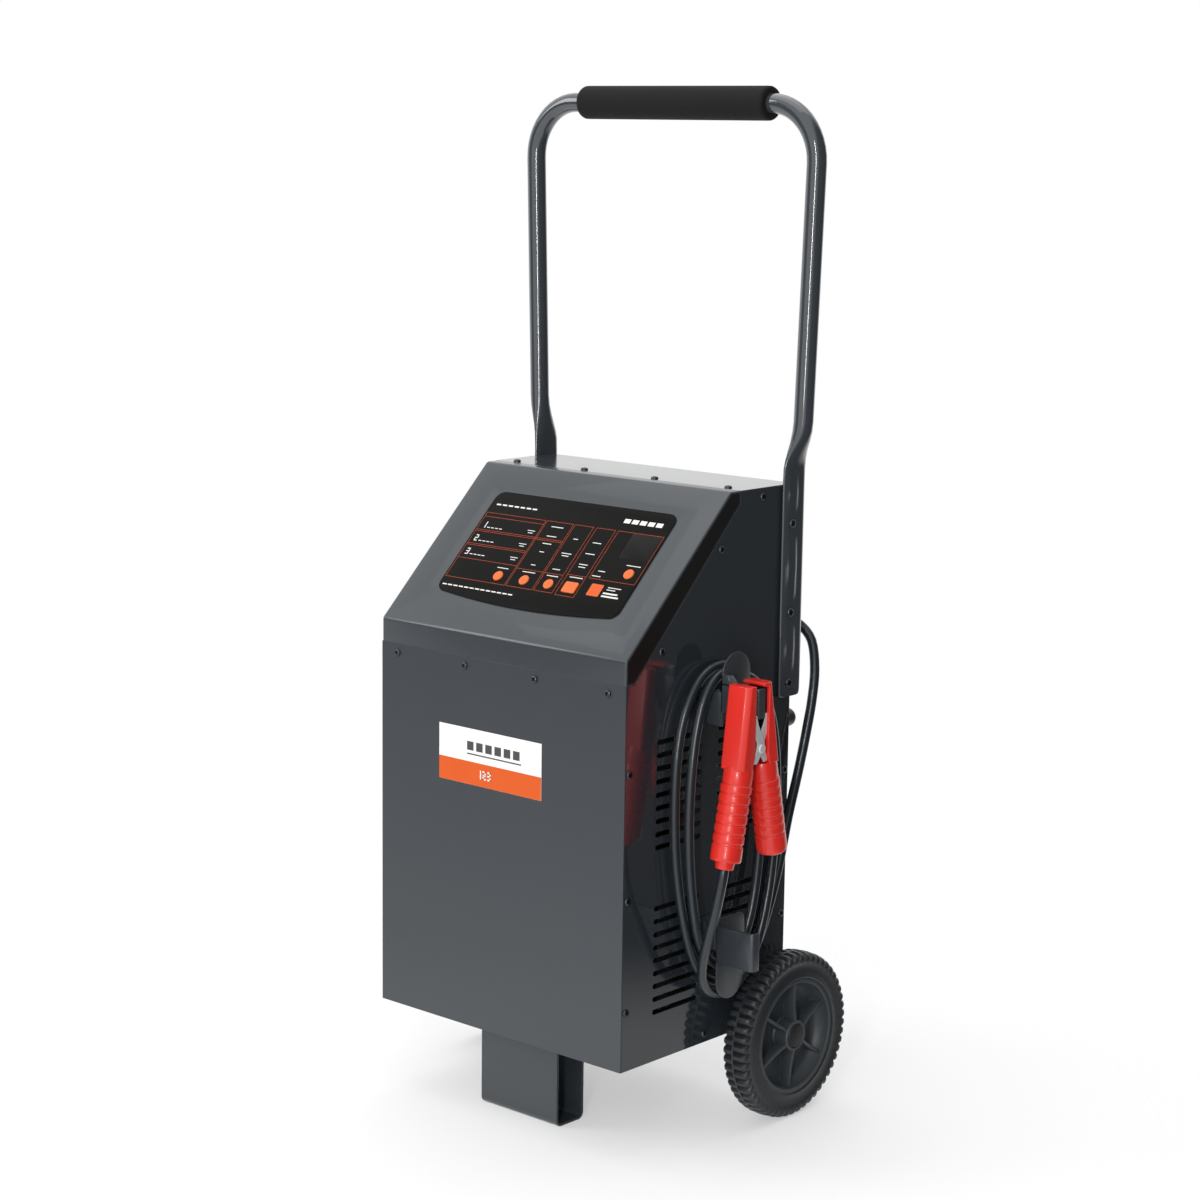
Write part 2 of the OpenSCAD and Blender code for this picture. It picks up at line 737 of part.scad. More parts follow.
module negative_gland() {
    color(black) difference() {
        lead_gland(negative_at[0], negative_at[1]);
        rod_y(negative_at[0], back_y - 8, back_y + gland_l + 1, negative_at[1], lead_r);
    }
}

module mains_gland() {
    color(black) difference() {
        turned_y(mains_at[0], back_y, mains_at[1])
            polygon([[0, -8], [7, -8], [7, 0], [11, 0], [11, 10], [9.5, 12], [9.5, 27], [8, 30], [6, 31], [0, 31]]);
        rod_y(mains_at[0], back_y - 9, back_y + 32, mains_at[1], 4);
    }
}

// Route of the lead: out of the gland, round the case's rear edge, two turns on the hooks, up to the clamp
route = [[140, 218.5, 499], [140, 227, 499], [146, 238, 494], [160, 240, 479], [171, 232, 452],
    [176, 222, 422], [177, 212, 388], [176, 202, 350], [174, 190, 306], [173, 178, 258], [172, 162, 212],
    [172, 142, 177], [172, 116, 159], [172, 88, 156], [172, 62, 167], [172, 42, 195],
    [172, 26, 242], [172, 16, 295], [172, 13, 350], [172, 16, 402], [172, 27, 440], [172, 48, 468],
    [172, 75, 478], [173, 102, 472], [175, 122, 450], [178, 132, 412], [182, 134, 360],
    [184, 132, 300], [184, 125, 242], [184, 110, 200], [184, 84, 179], [184, 58, 186], [184, 39, 212],
    [184, 27, 258], [184, 21, 315], [184, 22, 372], [184, 30, 424], [184, 45, 459], [184, 68, 474],
    [184, 96, 469], [184, 124, 453], [184, 145, 418], [184, 155, 366], [184, 156, 306], [184, 149, 246],
    [185, 134, 199], [187, 112, 167], [188, 86, 153], [187, 62, 153], [190, 40, 168],
    [199, 27, 194], [211, 21, 224], [222, 18.5, 256], [clamp_x, boot_end_y - 2, boot_end_z - 10],
    [clamp_x, boot_end_y, boot_end_z]];
lead_sides = 8;

function curve_at(p, i, t) =
    let (n = len(p) - 1, a = p[max(i - 1, 0)], b = p[i], c = p[min(i + 1, n)], d = p[min(i + 2, n)])
    0.5 * (2 * b + (c - a) * t + (2 * a - 5 * b + 4 * c - d) * t * t + (3 * b - a - 3 * c + d) * t * t * t);
function unit(v) = v / norm(v);
// How far a route turns over the segment that begins at point i, in degrees
function turn_at(p, i) =
    let (n = len(p) - 1, u = p[min(i + 2, n)] - p[min(i + 1, n - 1)], v = p[i] - p[max(i - 1, 0)])
    i == 0 || i > n - 2 ? 0 : acos(unit(u) * unit(v));

module swept(p, r, sides) {
    centres = [for (i = [0:len(p) - 2], t = turn_at(p, i) > 34 ? [0, 0.5] : [0]) curve_at(p, i, t),
               p[len(p) - 1]];
    last = len(centres) - 1;
    ring = [for (k = [0:last])
        let (t = unit(centres[min(k + 1, last)] - centres[max(k - 1, 0)]),
             u = unit(cross(t, [1, 0, 0])), v = cross(t, u))
        for (j = [0:sides - 1]) centres[k] + r * (cos(360 * j / sides) * u + sin(360 * j / sides) * v)];
    walls = [for (k = [0:last - 1], j = [0:sides - 1])
        let (a = k * sides + j, b = k * sides + (j + 1) % sides)
        [a, b, b + sides, a + sides]];
    polyhedron(points = ring, faces = concat(walls,
        [[for (j = [sides - 1:-1:0]) j], [for (j = [0:sides - 1]) last * sides + j]]));
}

module positive_lead() {
    color(black) swept(route, lead_r, lead_sides);
}

// ---- clamp ---------------------------------------------------------------
// Each half is drawn as the rear one, in (y, z) from the pivot, and mirrored for the front.

module clamp_frame(front) {
    translate([clamp_x, clamp_y, clamp_z]) mirror([0, front ? 1 : 0, 0]) children();
}

module clamp_handle(length, nose_r) {
    pitch = 9.6;
    translate([0, handle_top[0], handle_top[1]]) rotate([180 + handle_tilt, 0, 0]) rotate_extrude()
        polygon(concat([[0, -0.5], [13.6, -0.5], [14.4, 1]], [[14.4, 11.5]],
            [for (i = [0:5]) each [[14.2, 13 + i * pitch], [15.2, 15 + i * pitch],
                                   [15.2, 20 + i * pitch], [14.2, 21.5 + i * pitch]]],
            [[15.2, 72], [15.2, 84], [nose_r, length], [0, length]]));
}

// One insulator: a guard round the jaw and a ribbed handle
module insulator(top_y, top_z, low_y, low_z) {
    inner = jaw_in + tooth + jaw_t;
    along_x(-guard_w / 2, guard_w / 2) polygon([
        [inner, 12], [inner, top_z], [top_y, top_z], [low_y, low_z], [inner + 4, low_z - 1], [inner + 0.4, -8]]);
}

module clamp_front_insulator() {
    color(red) clamp_frame(true) {
        insulator(21, 62, 31, -18);
        clamp_handle(handle_len, 14.4);
    }
}

module clamp_rear_insulator() {
    color(red) clamp_frame(false) {
        insulator(14.5, 63.5, 28, -16);
        slab(-guard_w / 2, guard_w / 2, 2, jaw_in + tooth + jaw_t + 1, 60, 63.5);
        clamp_handle(rear_handle_len, 9);
    }
}

// Steel jaw: a toothed plate with two ears that reach past the pivot pin
module jaw(ear_x) {
    plate = jaw_in + tooth;
    difference() {
        union() {
            along_x(-ear_x - 0.7, ear_x + 0.7) polygon(concat(
                [[plate + jaw_t, 12], [plate, 12]],
                [for (i = [0:10]) each [[plate, 13 + i * 4], [jaw_in, 14.5 + i * 4], [plate, 16.5 + i * 4]]],
                [[plate, 58], [plate + jaw_t, 58]]));
            for (s = [-1, 1]) along_x(s * ear_x - 0.7, s * ear_x + 0.7) {
                circle(r = 5.4);
                polygon([[-3.6, 4], [plate + 0.5, 30], [plate + 0.5, 13], [4, -3.6]]);
                polygon([[-1, -5], [5, -1], [9, -7], [11, -14], [7, -12]]);
            }
        }
        rod_x(-20, 20, 0, 0, pin_r + running);
    }
}

module clamp_front_jaw() {
    color(zinc) clamp_frame(true) jaw(12);
}

module clamp_rear_jaw() {
    color(zinc) clamp_frame(false) jaw(10.4);
}

module clamp_pin() {
    color(zinc) clamp_frame(false) {
        rod_x(-13, 13, 0, 0, pin_r);
        rod_x(13, 14.5, 0, 0, 4.6);
        rod_x(-14.5, -13, 0, 0, 4.6);
    }
}

module clamp_spring() {
    color([0.5, 0.5, 0.52]) clamp_frame(false) difference() {
        rod_x(-8, 8, 0, 0, 5);
        rod_x(-9, 9, 0, 0, pin_r + 0.4);
    }
}

module clamp_boot() {
    color(red) clamp_frame(true) translate([0, handle_end[0], handle_end[1]]) rotate([180 + handle_tilt, 0, 0])
        cylinder(r1 = 9.2, r2 = 8.8, h = boot_len);
}

base_tray();
front_panel();
right_side_panel();
left_side_panel();
back_panel();
top_cover();
control_hood();
hood_stripes();
keypad_overlay();
display_window();
front_label();
front_screws();
top_screws();
side_screws();
back_screws();
button_rate();
button_mode();
button_type();
button_start();
button_test();
control_board();
board_spacers();
button_switches();
display_module();
transformer_core();
transformer_coils();
transformer_brackets();
rectifier_heatsink();
rectifier_diodes();
power_relay();
terminal_block();
fan_frame();
fan_rotor();
front_foot();
axle();
axle_brackets();
axle_spacers();
right_tyre();
right_rim();
right_hub_cap();
left_tyre();
left_rim();
left_hub_cap();
handle_tube();
foam_grip();
handle_screws();
upper_cable_hook();
lower_cable_hook();
hook_screws();
positive_gland();
negative_gland();
mains_gland();
positive_lead();
clamp_front_insulator();
clamp_rear_insulator();
clamp_front_jaw();
clamp_rear_jaw();
clamp_pin();
clamp_spring();
clamp_boot();
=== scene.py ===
import json
import math
import random

import bpy
from mathutils import Matrix, Vector

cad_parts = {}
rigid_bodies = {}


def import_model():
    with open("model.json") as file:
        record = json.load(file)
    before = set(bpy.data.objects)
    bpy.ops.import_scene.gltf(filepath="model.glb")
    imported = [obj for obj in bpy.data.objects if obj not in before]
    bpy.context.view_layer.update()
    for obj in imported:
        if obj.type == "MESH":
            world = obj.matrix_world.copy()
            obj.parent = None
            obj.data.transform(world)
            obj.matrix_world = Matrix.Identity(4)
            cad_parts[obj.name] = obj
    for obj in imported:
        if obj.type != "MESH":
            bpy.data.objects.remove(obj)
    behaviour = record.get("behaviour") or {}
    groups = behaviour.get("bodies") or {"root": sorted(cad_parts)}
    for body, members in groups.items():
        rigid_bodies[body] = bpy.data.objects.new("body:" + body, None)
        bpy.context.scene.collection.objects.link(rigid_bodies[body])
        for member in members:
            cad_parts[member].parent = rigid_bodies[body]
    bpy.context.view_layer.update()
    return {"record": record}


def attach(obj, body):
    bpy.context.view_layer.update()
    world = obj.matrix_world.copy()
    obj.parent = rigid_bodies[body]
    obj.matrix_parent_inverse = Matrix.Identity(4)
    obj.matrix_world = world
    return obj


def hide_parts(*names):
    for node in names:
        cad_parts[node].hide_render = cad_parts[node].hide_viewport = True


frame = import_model()
random.seed(7)
MM = 0.001

# ---- camera ---------------------------------------------------------------

CAM_AT = (1.7805, -1.9118, 0.9875)
CAM_AZ, CAM_EL, CAM_ROLL = math.radians(41.59), math.radians(9.92), math.radians(0.779)
LENS, SENSOR = 80.37, 36.0


def add_camera():
    data = bpy.data.cameras.new("camera")
    data.lens = LENS
    data.sensor_width = SENSOR
    cam = bpy.data.objects.new("camera", data)
    bpy.context.scene.collection.objects.link(cam)
    back = Vector((math.sin(CAM_AZ) * math.cos(CAM_EL), -math.cos(CAM_AZ) * math.cos(CAM_EL),
                   math.sin(CAM_EL)))
    right = Vector((math.cos(CAM_AZ), math.sin(CAM_AZ), 0))
    up = back.cross(right)
    c, s = math.cos(CAM_ROLL), math.sin(CAM_ROLL)
    r2, u2 = c * right + s * up, -s * right + c * up
    cam.matrix_world = Matrix((
        (r2.x, u2.x, back.x, CAM_AT[0]), (r2.y, u2.y, back.y, CAM_AT[1]),
        (r2.z, u2.z, back.z, CAM_AT[2]), (0, 0, 0, 1)))
    bpy.context.scene.camera = cam


add_camera()

# ---- node materials -------------------------------------------------------


def lin(colour):
    """An sRGB hex colour as linear RGBA."""
    out = []
    for i in (0, 2, 4):
        v = int(colour[i:i + 2], 16) / 255
        out.append(v / 12.92 if v <= 0.04045 else ((v + 0.055) / 1.055) ** 2.4)
    return (*out, 1.0)


def put(owner, kind, settings=None, **inputs):
    """Adds a shader node to a material or world; an input is a value or (node, output name)."""
    tree = owner.node_tree
    n = tree.nodes.new(kind)
    for k, v in (settings or {}).items():
        setattr(n, k, v)
    for k, v in inputs.items():
        name = k.replace("__", " ")
        sock = n.inputs[int(k[1:])] if k[0] == "i" and k[1:].isdigit() else n.inputs[name]
        if isinstance(v, tuple) and len(v) == 2 and hasattr(v[0], "outputs"):
            tree.links.new(v[0].outputs[v[1]], sock)
        else:
            sock.default_value = v
    return n


def new_material(name):
    m = bpy.data.materials.new(name)
    m.use_nodes = True
    m.node_tree.nodes.clear()
    return m


def finish_mat(m, shader):
    out = m.node_tree.nodes.new("ShaderNodeOutputMaterial")
    m.node_tree.links.new(shader.outputs[0], out.inputs["Surface"])
    return m


def coords(m):
    return put(m, "ShaderNodeTexCoord")


def surface(name, colour, rough=0.4, metal=0.0, coat=0.0, edge=0.0, grain=0.0, grain_mm=1.0, mottle=0.0,
            smear=0.0, **extra):
    """A plain finish: edge rounds corners, grain is fine relief, mottle and smear vary colour and gloss."""
    m = new_material(name)
    tc = coords(m)
    kw = {"Base__Color": lin(colour), "Roughness": rough, "Metallic": metal, "Coat__Weight": coat,
          "Coat__Roughness": 0.04}
    kw.update(extra)
    if mottle:
        cloud = put(m, "ShaderNodeTexNoise", Vector=(tc, "Object"), Scale=22.0, Detail=3.0, Roughness=0.55)
        ramp = put(m, "ShaderNodeMapRange", Value=(cloud, "Fac"), From__Min=0.3, From__Max=0.7,
                   To__Min=1 - mottle, To__Max=1 + mottle)
        tint = put(m, "ShaderNodeMix", {"data_type": "RGBA", "blend_type": "MULTIPLY"}, i0=1.0,
                   i6=lin(colour), i7=(ramp, "Result"))
        kw["Base__Color"] = (tint, 2)
    if smear:
        streak = put(m, "ShaderNodeTexNoise", Vector=(tc, "Object"), Scale=9.0, Detail=5.0, Roughness=0.65)
        r = put(m, "ShaderNodeMapRange", Value=(streak, "Fac"), From__Min=0.35, From__Max=0.7,
                To__Min=rough - smear, To__Max=rough + smear)
        kw["Roughness"] = (r, "Result")
    normal = None
    if edge:
        normal = put(m, "ShaderNodeBevel", {"samples": 4}, Radius=edge * MM)
    if grain:
        fine = put(m, "ShaderNodeTexNoise", Vector=(tc, "Object"), Scale=1000.0 / grain_mm, Detail=2.0)
        b = put(m, "ShaderNodeBump", Strength=grain, Distance=0.0003, Height=(fine, "Fac"))
        if normal:
            m.node_tree.links.new(normal.outputs[0], b.inputs["Normal"])
        normal = b
    if normal:
        kw["Normal"] = (normal, 0)
    return finish_mat(m, put(m, "ShaderNodeBsdfPrincipled", **kw))


# Baked gloss enamel on sheet steel: soft wide reflections with the faint orange peel of sprayed paint
case_paint = surface("slate_grey_gloss_enamel", "353a3f", 0.3, coat=0.3, edge=0.8, grain=0.06, grain_mm=2.0,
                     mottle=0.012, smear=0.02)
# The same enamel on the flat side panels: a dark mirror of the lead and the clamp in front of it
side_paint = surface("slate_grey_mirror_enamel", "2b3035", 0.09, coat=0.8, edge=0.5, smear=0.02)
# The same enamel on the handle tube, polished by hands: a narrow bright line down the round
tube_paint = surface("slate_grey_tube_enamel", "383d42", 0.13, coat=1.0, grain=0.012, grain_mm=3.0, smear=0.02)
# The same enamel on the lid: glossy enough to throw back the white above at a low angle
top_paint = surface("slate_grey_gloss_top", "3a3e42", 0.16, coat=0.6, edge=0.5, smear=0.03)
# Black vinyl film: a satin band with an even fine tooth, darker than the paint beside it
black_film = surface("black_satin_film", "0f0d0c", 0.5, grain=0.04, grain_mm=0.8, Specular__IOR__Level=0.3)
# Textured polyester keypad film: near black, it hardly reflects
keypad_black = surface("black_keypad_film", "090807", 0.55, grain=0.03, grain_mm=0.8, Specular__IOR__Level=0.1)
# Smoked acrylic over the display: a shade smoother than the film round it
window_smoke = surface("smoked_acrylic_window", "080504", 0.35, smear=0.03, Specular__IOR__Level=0.14)
# Screen inks: flat, slightly uneven colour lying on the film
print_orange = surface("orange_screen_ink", "d95a1b", 0.45, mottle=0.02, Specular__IOR__Level=0.3)
line_orange = surface("orange_line_ink", "c04c18", 0.45, mottle=0.02, Specular__IOR__Level=0.3)
print_white = surface("white_screen_ink", "e9e6e2", 0.4, mottle=0.01)
print_grey = surface("dark_screen_ink", "46464a", 0.4, mottle=0.02)
# Coated label paper: clean white with a weak sheen
label_white = surface("coated_label_paper", "f4f3f0", 0.35, mottle=0.008)
# Moulded silicone keys: soft edges, matt orange
key_orange = surface("orange_silicone_key", "e56a22", 0.5, edge=0.5, grain=0.05, grain_mm=0.8)
# Black zinc plate on the screws: dark metal that sparks at the rim and the cross
screw_black = surface("black_zinc_screw", "4a4d50", 0.3, metal=1.0, edge=0.2, smear=0.05)
# Solder mask over glass cloth: glossy green with a fine weave
board_green = surface("green_solder_mask", "14582e", 0.35, grain=0.1, grain_mm=0.8, mottle=0.05)
# Moulded ABS and nylon: fine spark-eroded texture, rounded corners
plastic_black = surface("black_abs_plastic", "151516", 0.45, edge=0.4, grain=0.1, grain_mm=0.8)
plastic_white = surface("white_abs_plastic", "dcdad2", 0.4, edge=0.4, grain=0.08, grain_mm=0.8)
nylon = surface("black_nylon_gland", "121213", 0.42, edge=0.4, grain=0.08, grain_mm=0.9)
cream = surface("cream_nylon", "d8d2be", 0.5, edge=0.3, grain=0.08, grain_mm=0.9)
relay_blue = surface("blue_relay_case", "1e3d80", 0.3, edge=0.3, grain=0.05, grain_mm=0.8)
cap_black = surface("black_pp_hub_cap", "0b0c0d", 0.5, edge=0.4, grain=0.08, grain_mm=0.9)
# Bright zinc plate: cool metal with cloudy gloss
zinc = surface("bright_zinc_plate", "b9bcbf", 0.28, metal=1.0, edge=0.3, smear=0.08)
# Nickel plated jaws: pale, slightly dull metal; the teeth are painted near black as the shade that falls between
# the closed jaws
jaw_plate = surface("nickel_plated_jaw", "e4e6e8", 0.34, metal=0.45, edge=0.2, smear=0.05)
jaw_teeth_shade = surface("jaw_teeth_painted_shade", "101113", 0.4, metal=0.3, edge=0.2, mottle=0.1)
spring_dark = surface("oiled_spring_steel", "3a3a3c", 0.35, metal=1.0, smear=0.08)
# Varnished laminations and winding tape: brown-grey, blotched by dipping
laminations = surface("varnished_laminations", "4a4744", 0.5, metal=0.6, mottle=0.15, smear=0.1)
winding = surface("varnished_winding_tape", "8a5a2c", 0.5, mottle=0.2, grain=0.15, grain_mm=1.5)
# Extruded aluminium: pale metal with drawn streaks
fins = surface("plain_aluminium", "b5b7ba", 0.35, metal=1.0, smear=0.1)
# Closed-cell foam: matt black, with a fine crumb
foam = surface("black_cellular_foam", "0f0d0f", 0.8, grain=0.6, grain_mm=1.2, mottle=0.1, Specular__IOR__Level=0.3)
# Solid rubber tyre: dark slate, with a low sheen on the lugs
tyre_rubber = surface("dark_tyre_rubber", "24282b", 0.42, grain=0.2, grain_mm=1.5, mottle=0.06)
# Moulded polypropylene rim: grey, fine-grained, softly shiny along the spokes
rim_plastic = surface("grey_moulded_rim", "363b3f", 0.45, grain=0.2, grain_mm=1.2, edge=0.5)
# Extruded rubber sheath: black with a long narrow highlight
sheath = surface("glossy_black_sheath", "1b2329", 0.3, coat=0.3, grain=0.05, grain_mm=3.0)
# Soft vinyl insulator: saturated red that lets a little light in
clamp_red = surface("red_vinyl_insulator", "e22c22", 0.3, coat=0.25, edge=0.7, mottle=0.03,
                    Subsurface__Weight=0.05, Subsurface__Radius=(0.004, 0.001, 0.001))

CAD_FINISH = {
    "case_paint": case_paint, "top_paint": top_paint, "black_film": black_film, "display_film": window_smoke,
    "label_film": label_white, "black_steel": screw_black, "orange_rubber": key_orange,
    "circuit_board": board_green, "switch_plastic": plastic_black, "display_case": plastic_white,
    "zinc_steel": zinc, "spring_steel": spring_dark, "core_steel": laminations, "winding": winding,
    "extrusion": fins, "diode_case": zinc, "relay_plastic": relay_blue, "terminal_plastic": cream,
    "fan_plastic": plastic_black, "tyre_rubber": tyre_rubber, "rim_plastic": rim_plastic,
    "cap_plastic": cap_black, "foam": foam, "gland_plastic": nylon, "lead_rubber": sheath,
    "clamp_plastic": clamp_red}
for part in frame["record"]["subparts"]:
    ob = bpy.data.objects[part["node"]]
    finish = CAD_FINISH[part["material_slot"]]
    if part["node"] in ("right_side_panel", "left_side_panel"):
        finish = side_paint
    for s in ob.material_slots:
        s.material = finish
    if not ob.material_slots:
        ob.data.materials.append(finish)

# ---- the clamp lead -------------------------------------------------------

LEAD_R = 5.0
# From the upper gland down the back edge, two and a half turns round the hooks, and up into the clamp
ROUTE = [
    (140, 218.5, 499), (140, 227, 499), (146, 238, 494), (160, 240, 479), (171, 232, 452),
    (176, 222, 422), (177, 212, 388), (176, 202, 350), (174, 190, 306), (173, 178, 258), (172, 162, 212),
    (172, 142, 177), (172, 116, 159), (172, 88, 156), (172, 62, 167), (172, 42, 195),
    (172, 26, 242), (172, 16, 295), (172, 13, 350), (172, 16, 402), (172, 27, 440), (172, 48, 468),
    (172, 75, 478), (173, 102, 472), (175, 122, 450), (178, 132, 412), (182, 134, 360),
    (184, 132, 300), (184, 125, 242), (184, 110, 200), (184, 84, 179), (184, 58, 186), (184, 39, 212),
    (184, 27, 258), (184, 21, 315), (184, 22, 372), (184, 30, 424), (184, 45, 459), (184, 68, 474),
    (184, 96, 469), (184, 124, 453), (184, 145, 418), (184, 155, 366), (184, 156, 306), (184, 149, 246),
    (185, 134, 199), (187, 112, 167), (188, 86, 153), (187, 62, 153), (190, 40, 168),
    (199, 27, 194), (211, 21, 224), (222, 18.5, 256), (228, 19.1, 285.2), (228, 21.1, 295)]


def smooth_path(points, per=4):
    """Catmull-Rom points through the route, in metres."""
    out = []
    n = len(points) - 1
    for i in range(n):
        a, b = Vector(points[max(i - 1, 0)]), Vector(points[i])
        c, d = Vector(points[i + 1]), Vector(points[min(i + 2, n)])
        for k in range(per):
            t = k / per
            out.append((0.5 * (2 * b + (c - a) * t + (2 * a - 5 * b + 4 * c - d) * t * t
                               + (3 * b - a - 3 * c + d) * t ** 3)) * MM)
    out.append(Vector(points[-1]) * MM)
    return out


def add_lead():
    data = bpy.data.curves.new("positive_lead_cord", "CURVE")
    data.dimensions = "3D"
    data.bevel_depth = LEAD_R * MM
    data.bevel_resolution = 5
    data.use_fill_caps = True
    path = smooth_path(ROUTE)
    sp = data.splines.new("POLY")
    sp.points.add(len(path) - 1)
    for q, p in zip(sp.points, path):
        q.co = (*p, 1)
    sp.use_smooth = True
    ob = bpy.data.objects.new("positive_lead_cord", data)
    bpy.context.scene.collection.objects.link(ob)
    data.materials.append(sheath)
    length = sum((b - a).length for a, b in zip(path, path[1:]))
    return ob, length, path


lead, lead_length, lead_path = add_lead()
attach(lead, "cabinet")
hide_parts("positive_lead")

# ---- modelling ------------------------------------------------------------


def rest():
    """Leaves edit mode with nothing selected."""
    if bpy.context.object and bpy.context.object.mode != "OBJECT":
        bpy.ops.object.mode_set(mode="OBJECT")
    bpy.ops.object.select_all(action="DESELECT")


def only(ob):
    """Makes ob the one selected and active object, in object mode."""
    rest()
    ob.select_set(True)
    bpy.context.view_layer.objects.active = ob


def pick(ob, test):
    """Enters edit mode with only the vertices that pass the test selected."""
    bpy.ops.object.mode_set(mode="EDIT")
    bpy.ops.mesh.select_all(action="DESELECT")
    bpy.ops.object.mode_set(mode="OBJECT")
    for v in ob.data.vertices:
        v.select = test(v)
    bpy.ops.object.mode_set(mode="EDIT")


def modify(ob, kind, **settings):
    only(ob)
    mod = ob.modifiers.new("m", kind)
    for k, v in settings.items():
        setattr(mod, k, v)
    bpy.ops.object.modifier_apply(modifier=mod.name)
    return ob


def soften(ob, width, segs=3, angle=30):
    return modify(ob, "BEVEL", width=width * MM, segments=segs, limit_method="ANGLE",
                  angle_limit=math.radians(angle), harden_normals=False)


def chain(name, points):
    """One vertex extruded along the points, in mm; stays in edit mode."""
    rest()
    bpy.ops.mesh.primitive_plane_add(size=MM)
    ob = bpy.context.object
    ob.name = ob.data.name = name
    bpy.ops.object.mode_set(mode="EDIT")
    bpy.ops.mesh.select_all(action="SELECT")
    bpy.ops.mesh.merge(type="CENTER")
    bpy.ops.transform.translate(value=Vector(points[0]) * MM)
    for a, b in zip(points, points[1:]):
        bpy.ops.mesh.extrude_region_move(
            TRANSFORM_OT_translate={"value": (Vector(b) - Vector(a)) * MM})
    return ob


def close_up():
    bpy.ops.mesh.select_all(action="SELECT")
    bpy.ops.mesh.remove_doubles(threshold=1e-6)
    bpy.ops.mesh.normals_make_consistent(inside=False)
    bpy.ops.object.mode_set(mode="OBJECT")


def prism(name, points, depth):
    """An outline in mm, extruded by the vector depth."""
    ob = chain(name, points)
    bpy.ops.mesh.select_all(action="SELECT")
    bpy.ops.mesh.edge_face_add()
    bpy.ops.mesh.extrude_region_move(TRANSFORM_OT_translate={"value": Vector(depth) * MM})
    close_up()
    return ob


def lathe(name, profile, centre, axis, steps=64):
    """Profile of (radius, distance along the axis), spun round the axis through centre."""
    axis = Vector(axis).normalized()
    side = axis.cross(Vector((0, 0, 1)) if abs(axis.z) < 0.9 else Vector((1, 0, 0))).normalized()
    points = [Vector(centre) + axis * h + side * r for r, h in profile]
    ob = chain(name, points)
    bpy.ops.mesh.select_all(action="SELECT")
    bpy.ops.mesh.spin(steps=steps, angle=2 * math.pi, center=Vector(centre) * MM, axis=axis)
    close_up()
    return ob


def block(name, lo, hi, round_mm=0.0, segs=3):
    rest()
    size = Vector(hi) - Vector(lo)
    bpy.ops.mesh.primitive_cube_add(size=1, location=(Vector(lo) + Vector(hi)) / 2 * MM, scale=size * MM)
    ob = bpy.context.object
    ob.name = ob.data.name = name
    bpy.ops.object.transform_apply(location=True, rotation=True, scale=True)
    if round_mm:
        soften(ob, round_mm, segs)
    return ob


def arc(cx, cy, r, start, end, n=6):
    return [(cx + r * math.cos(math.radians(start + (end - start) * i / n)),
             cy + r * math.sin(math.radians(start + (end - start) * i / n))) for i in range(n + 1)]


def rounded_rect(w, h, r, cx=0.0, cy=0.0, n=6):
    x, y = w / 2 - r, h / 2 - r
    return (arc(cx + x, cy + y, r, 0, 90, n) + arc(cx - x, cy + y, r, 90, 180, n)
            + arc(cx - x, cy - y, r, 180, 270, n) + arc(cx + x, cy - y, r, 270, 360, n))


def joined(name, obs):
    rest()
    for o in obs:
        o.select_set(True)
    bpy.context.view_layer.objects.active = obs[0]
    if len(obs) > 1:
        bpy.ops.object.join()
    obs[0].name = obs[0].data.name = name
    return obs[0]


def twin(ob, matrix, name):
    """A copy with its own mesh, moved by the matrix."""
    c = ob.copy()
    c.data = ob.data.copy()
    c.data.transform(matrix)
    if matrix.determinant() < 0:
        c.data.flip_normals()
    c.name = c.data.name = name
    bpy.context.scene.collection.objects.link(c)
    return c


def cut(ob, tool):
    """Takes the tool's volume out of ob and deletes the tool."""
    modify(ob, "BOOLEAN", object=tool, operation="DIFFERENCE", solver="EXACT")
    bpy.data.objects.remove(tool, do_unlink=True)
    return ob


def bevel_where(ob, test, width, segs=3):
    """Bevels the edges whose two ends, in mm, pass the test."""
    only(ob)
    me = ob.data
    bpy.ops.object.mode_set(mode="EDIT")
    bpy.ops.mesh.select_mode(type="EDGE")
    bpy.ops.mesh.select_all(action="DESELECT")
    bpy.ops.object.mode_set(mode="OBJECT")
    for e in me.edges:
        e.select = test(*(me.vertices[i].co / MM for i in e.vertices))
    bpy.ops.object.mode_set(mode="EDIT")
    bpy.ops.mesh.bevel(offset=width * MM, segments=segs)
    bpy.ops.mesh.select_mode(type="VERT")
    bpy.ops.object.mode_set(mode="OBJECT")
    return ob


def tube(name, points, r, sides=4):
    """A round wire of radius r along the points, in mm, as a mesh."""
    data = bpy.data.curves.new(name, "CURVE")
    data.dimensions = "3D"
    data.bevel_depth = r * MM
    data.bevel_resolution = sides
    data.use_fill_caps = True
    sp = data.splines.new("POLY")
    sp.points.add(len(points) - 1)
    for q, p in zip(sp.points, points):
        q.co = (*(Vector(p) * MM), 1)
    ob = bpy.data.objects.new(name, data)
    bpy.context.scene.collection.objects.link(ob)
    only(ob)
    bpy.ops.object.convert(target="MESH")
    return bpy.context.object


def offset(points, d):
    """A closed outline moved inwards by d; the outline runs anticlockwise."""
    out = []
    n = len(points)
    for i in range(n):
        a, b, c = (Vector(points[(i + k) % n]) for k in (-1, 0, 1))
        u, v = (b - a).normalized(), (c - b).normalized()
        nu, nv = Vector((-u.y, u.x)), Vector((-v.y, v.x))
        out.append(tuple(b + (nu + nv) * (d / max(0.2, 1 + nu.dot(nv)))))
    return out


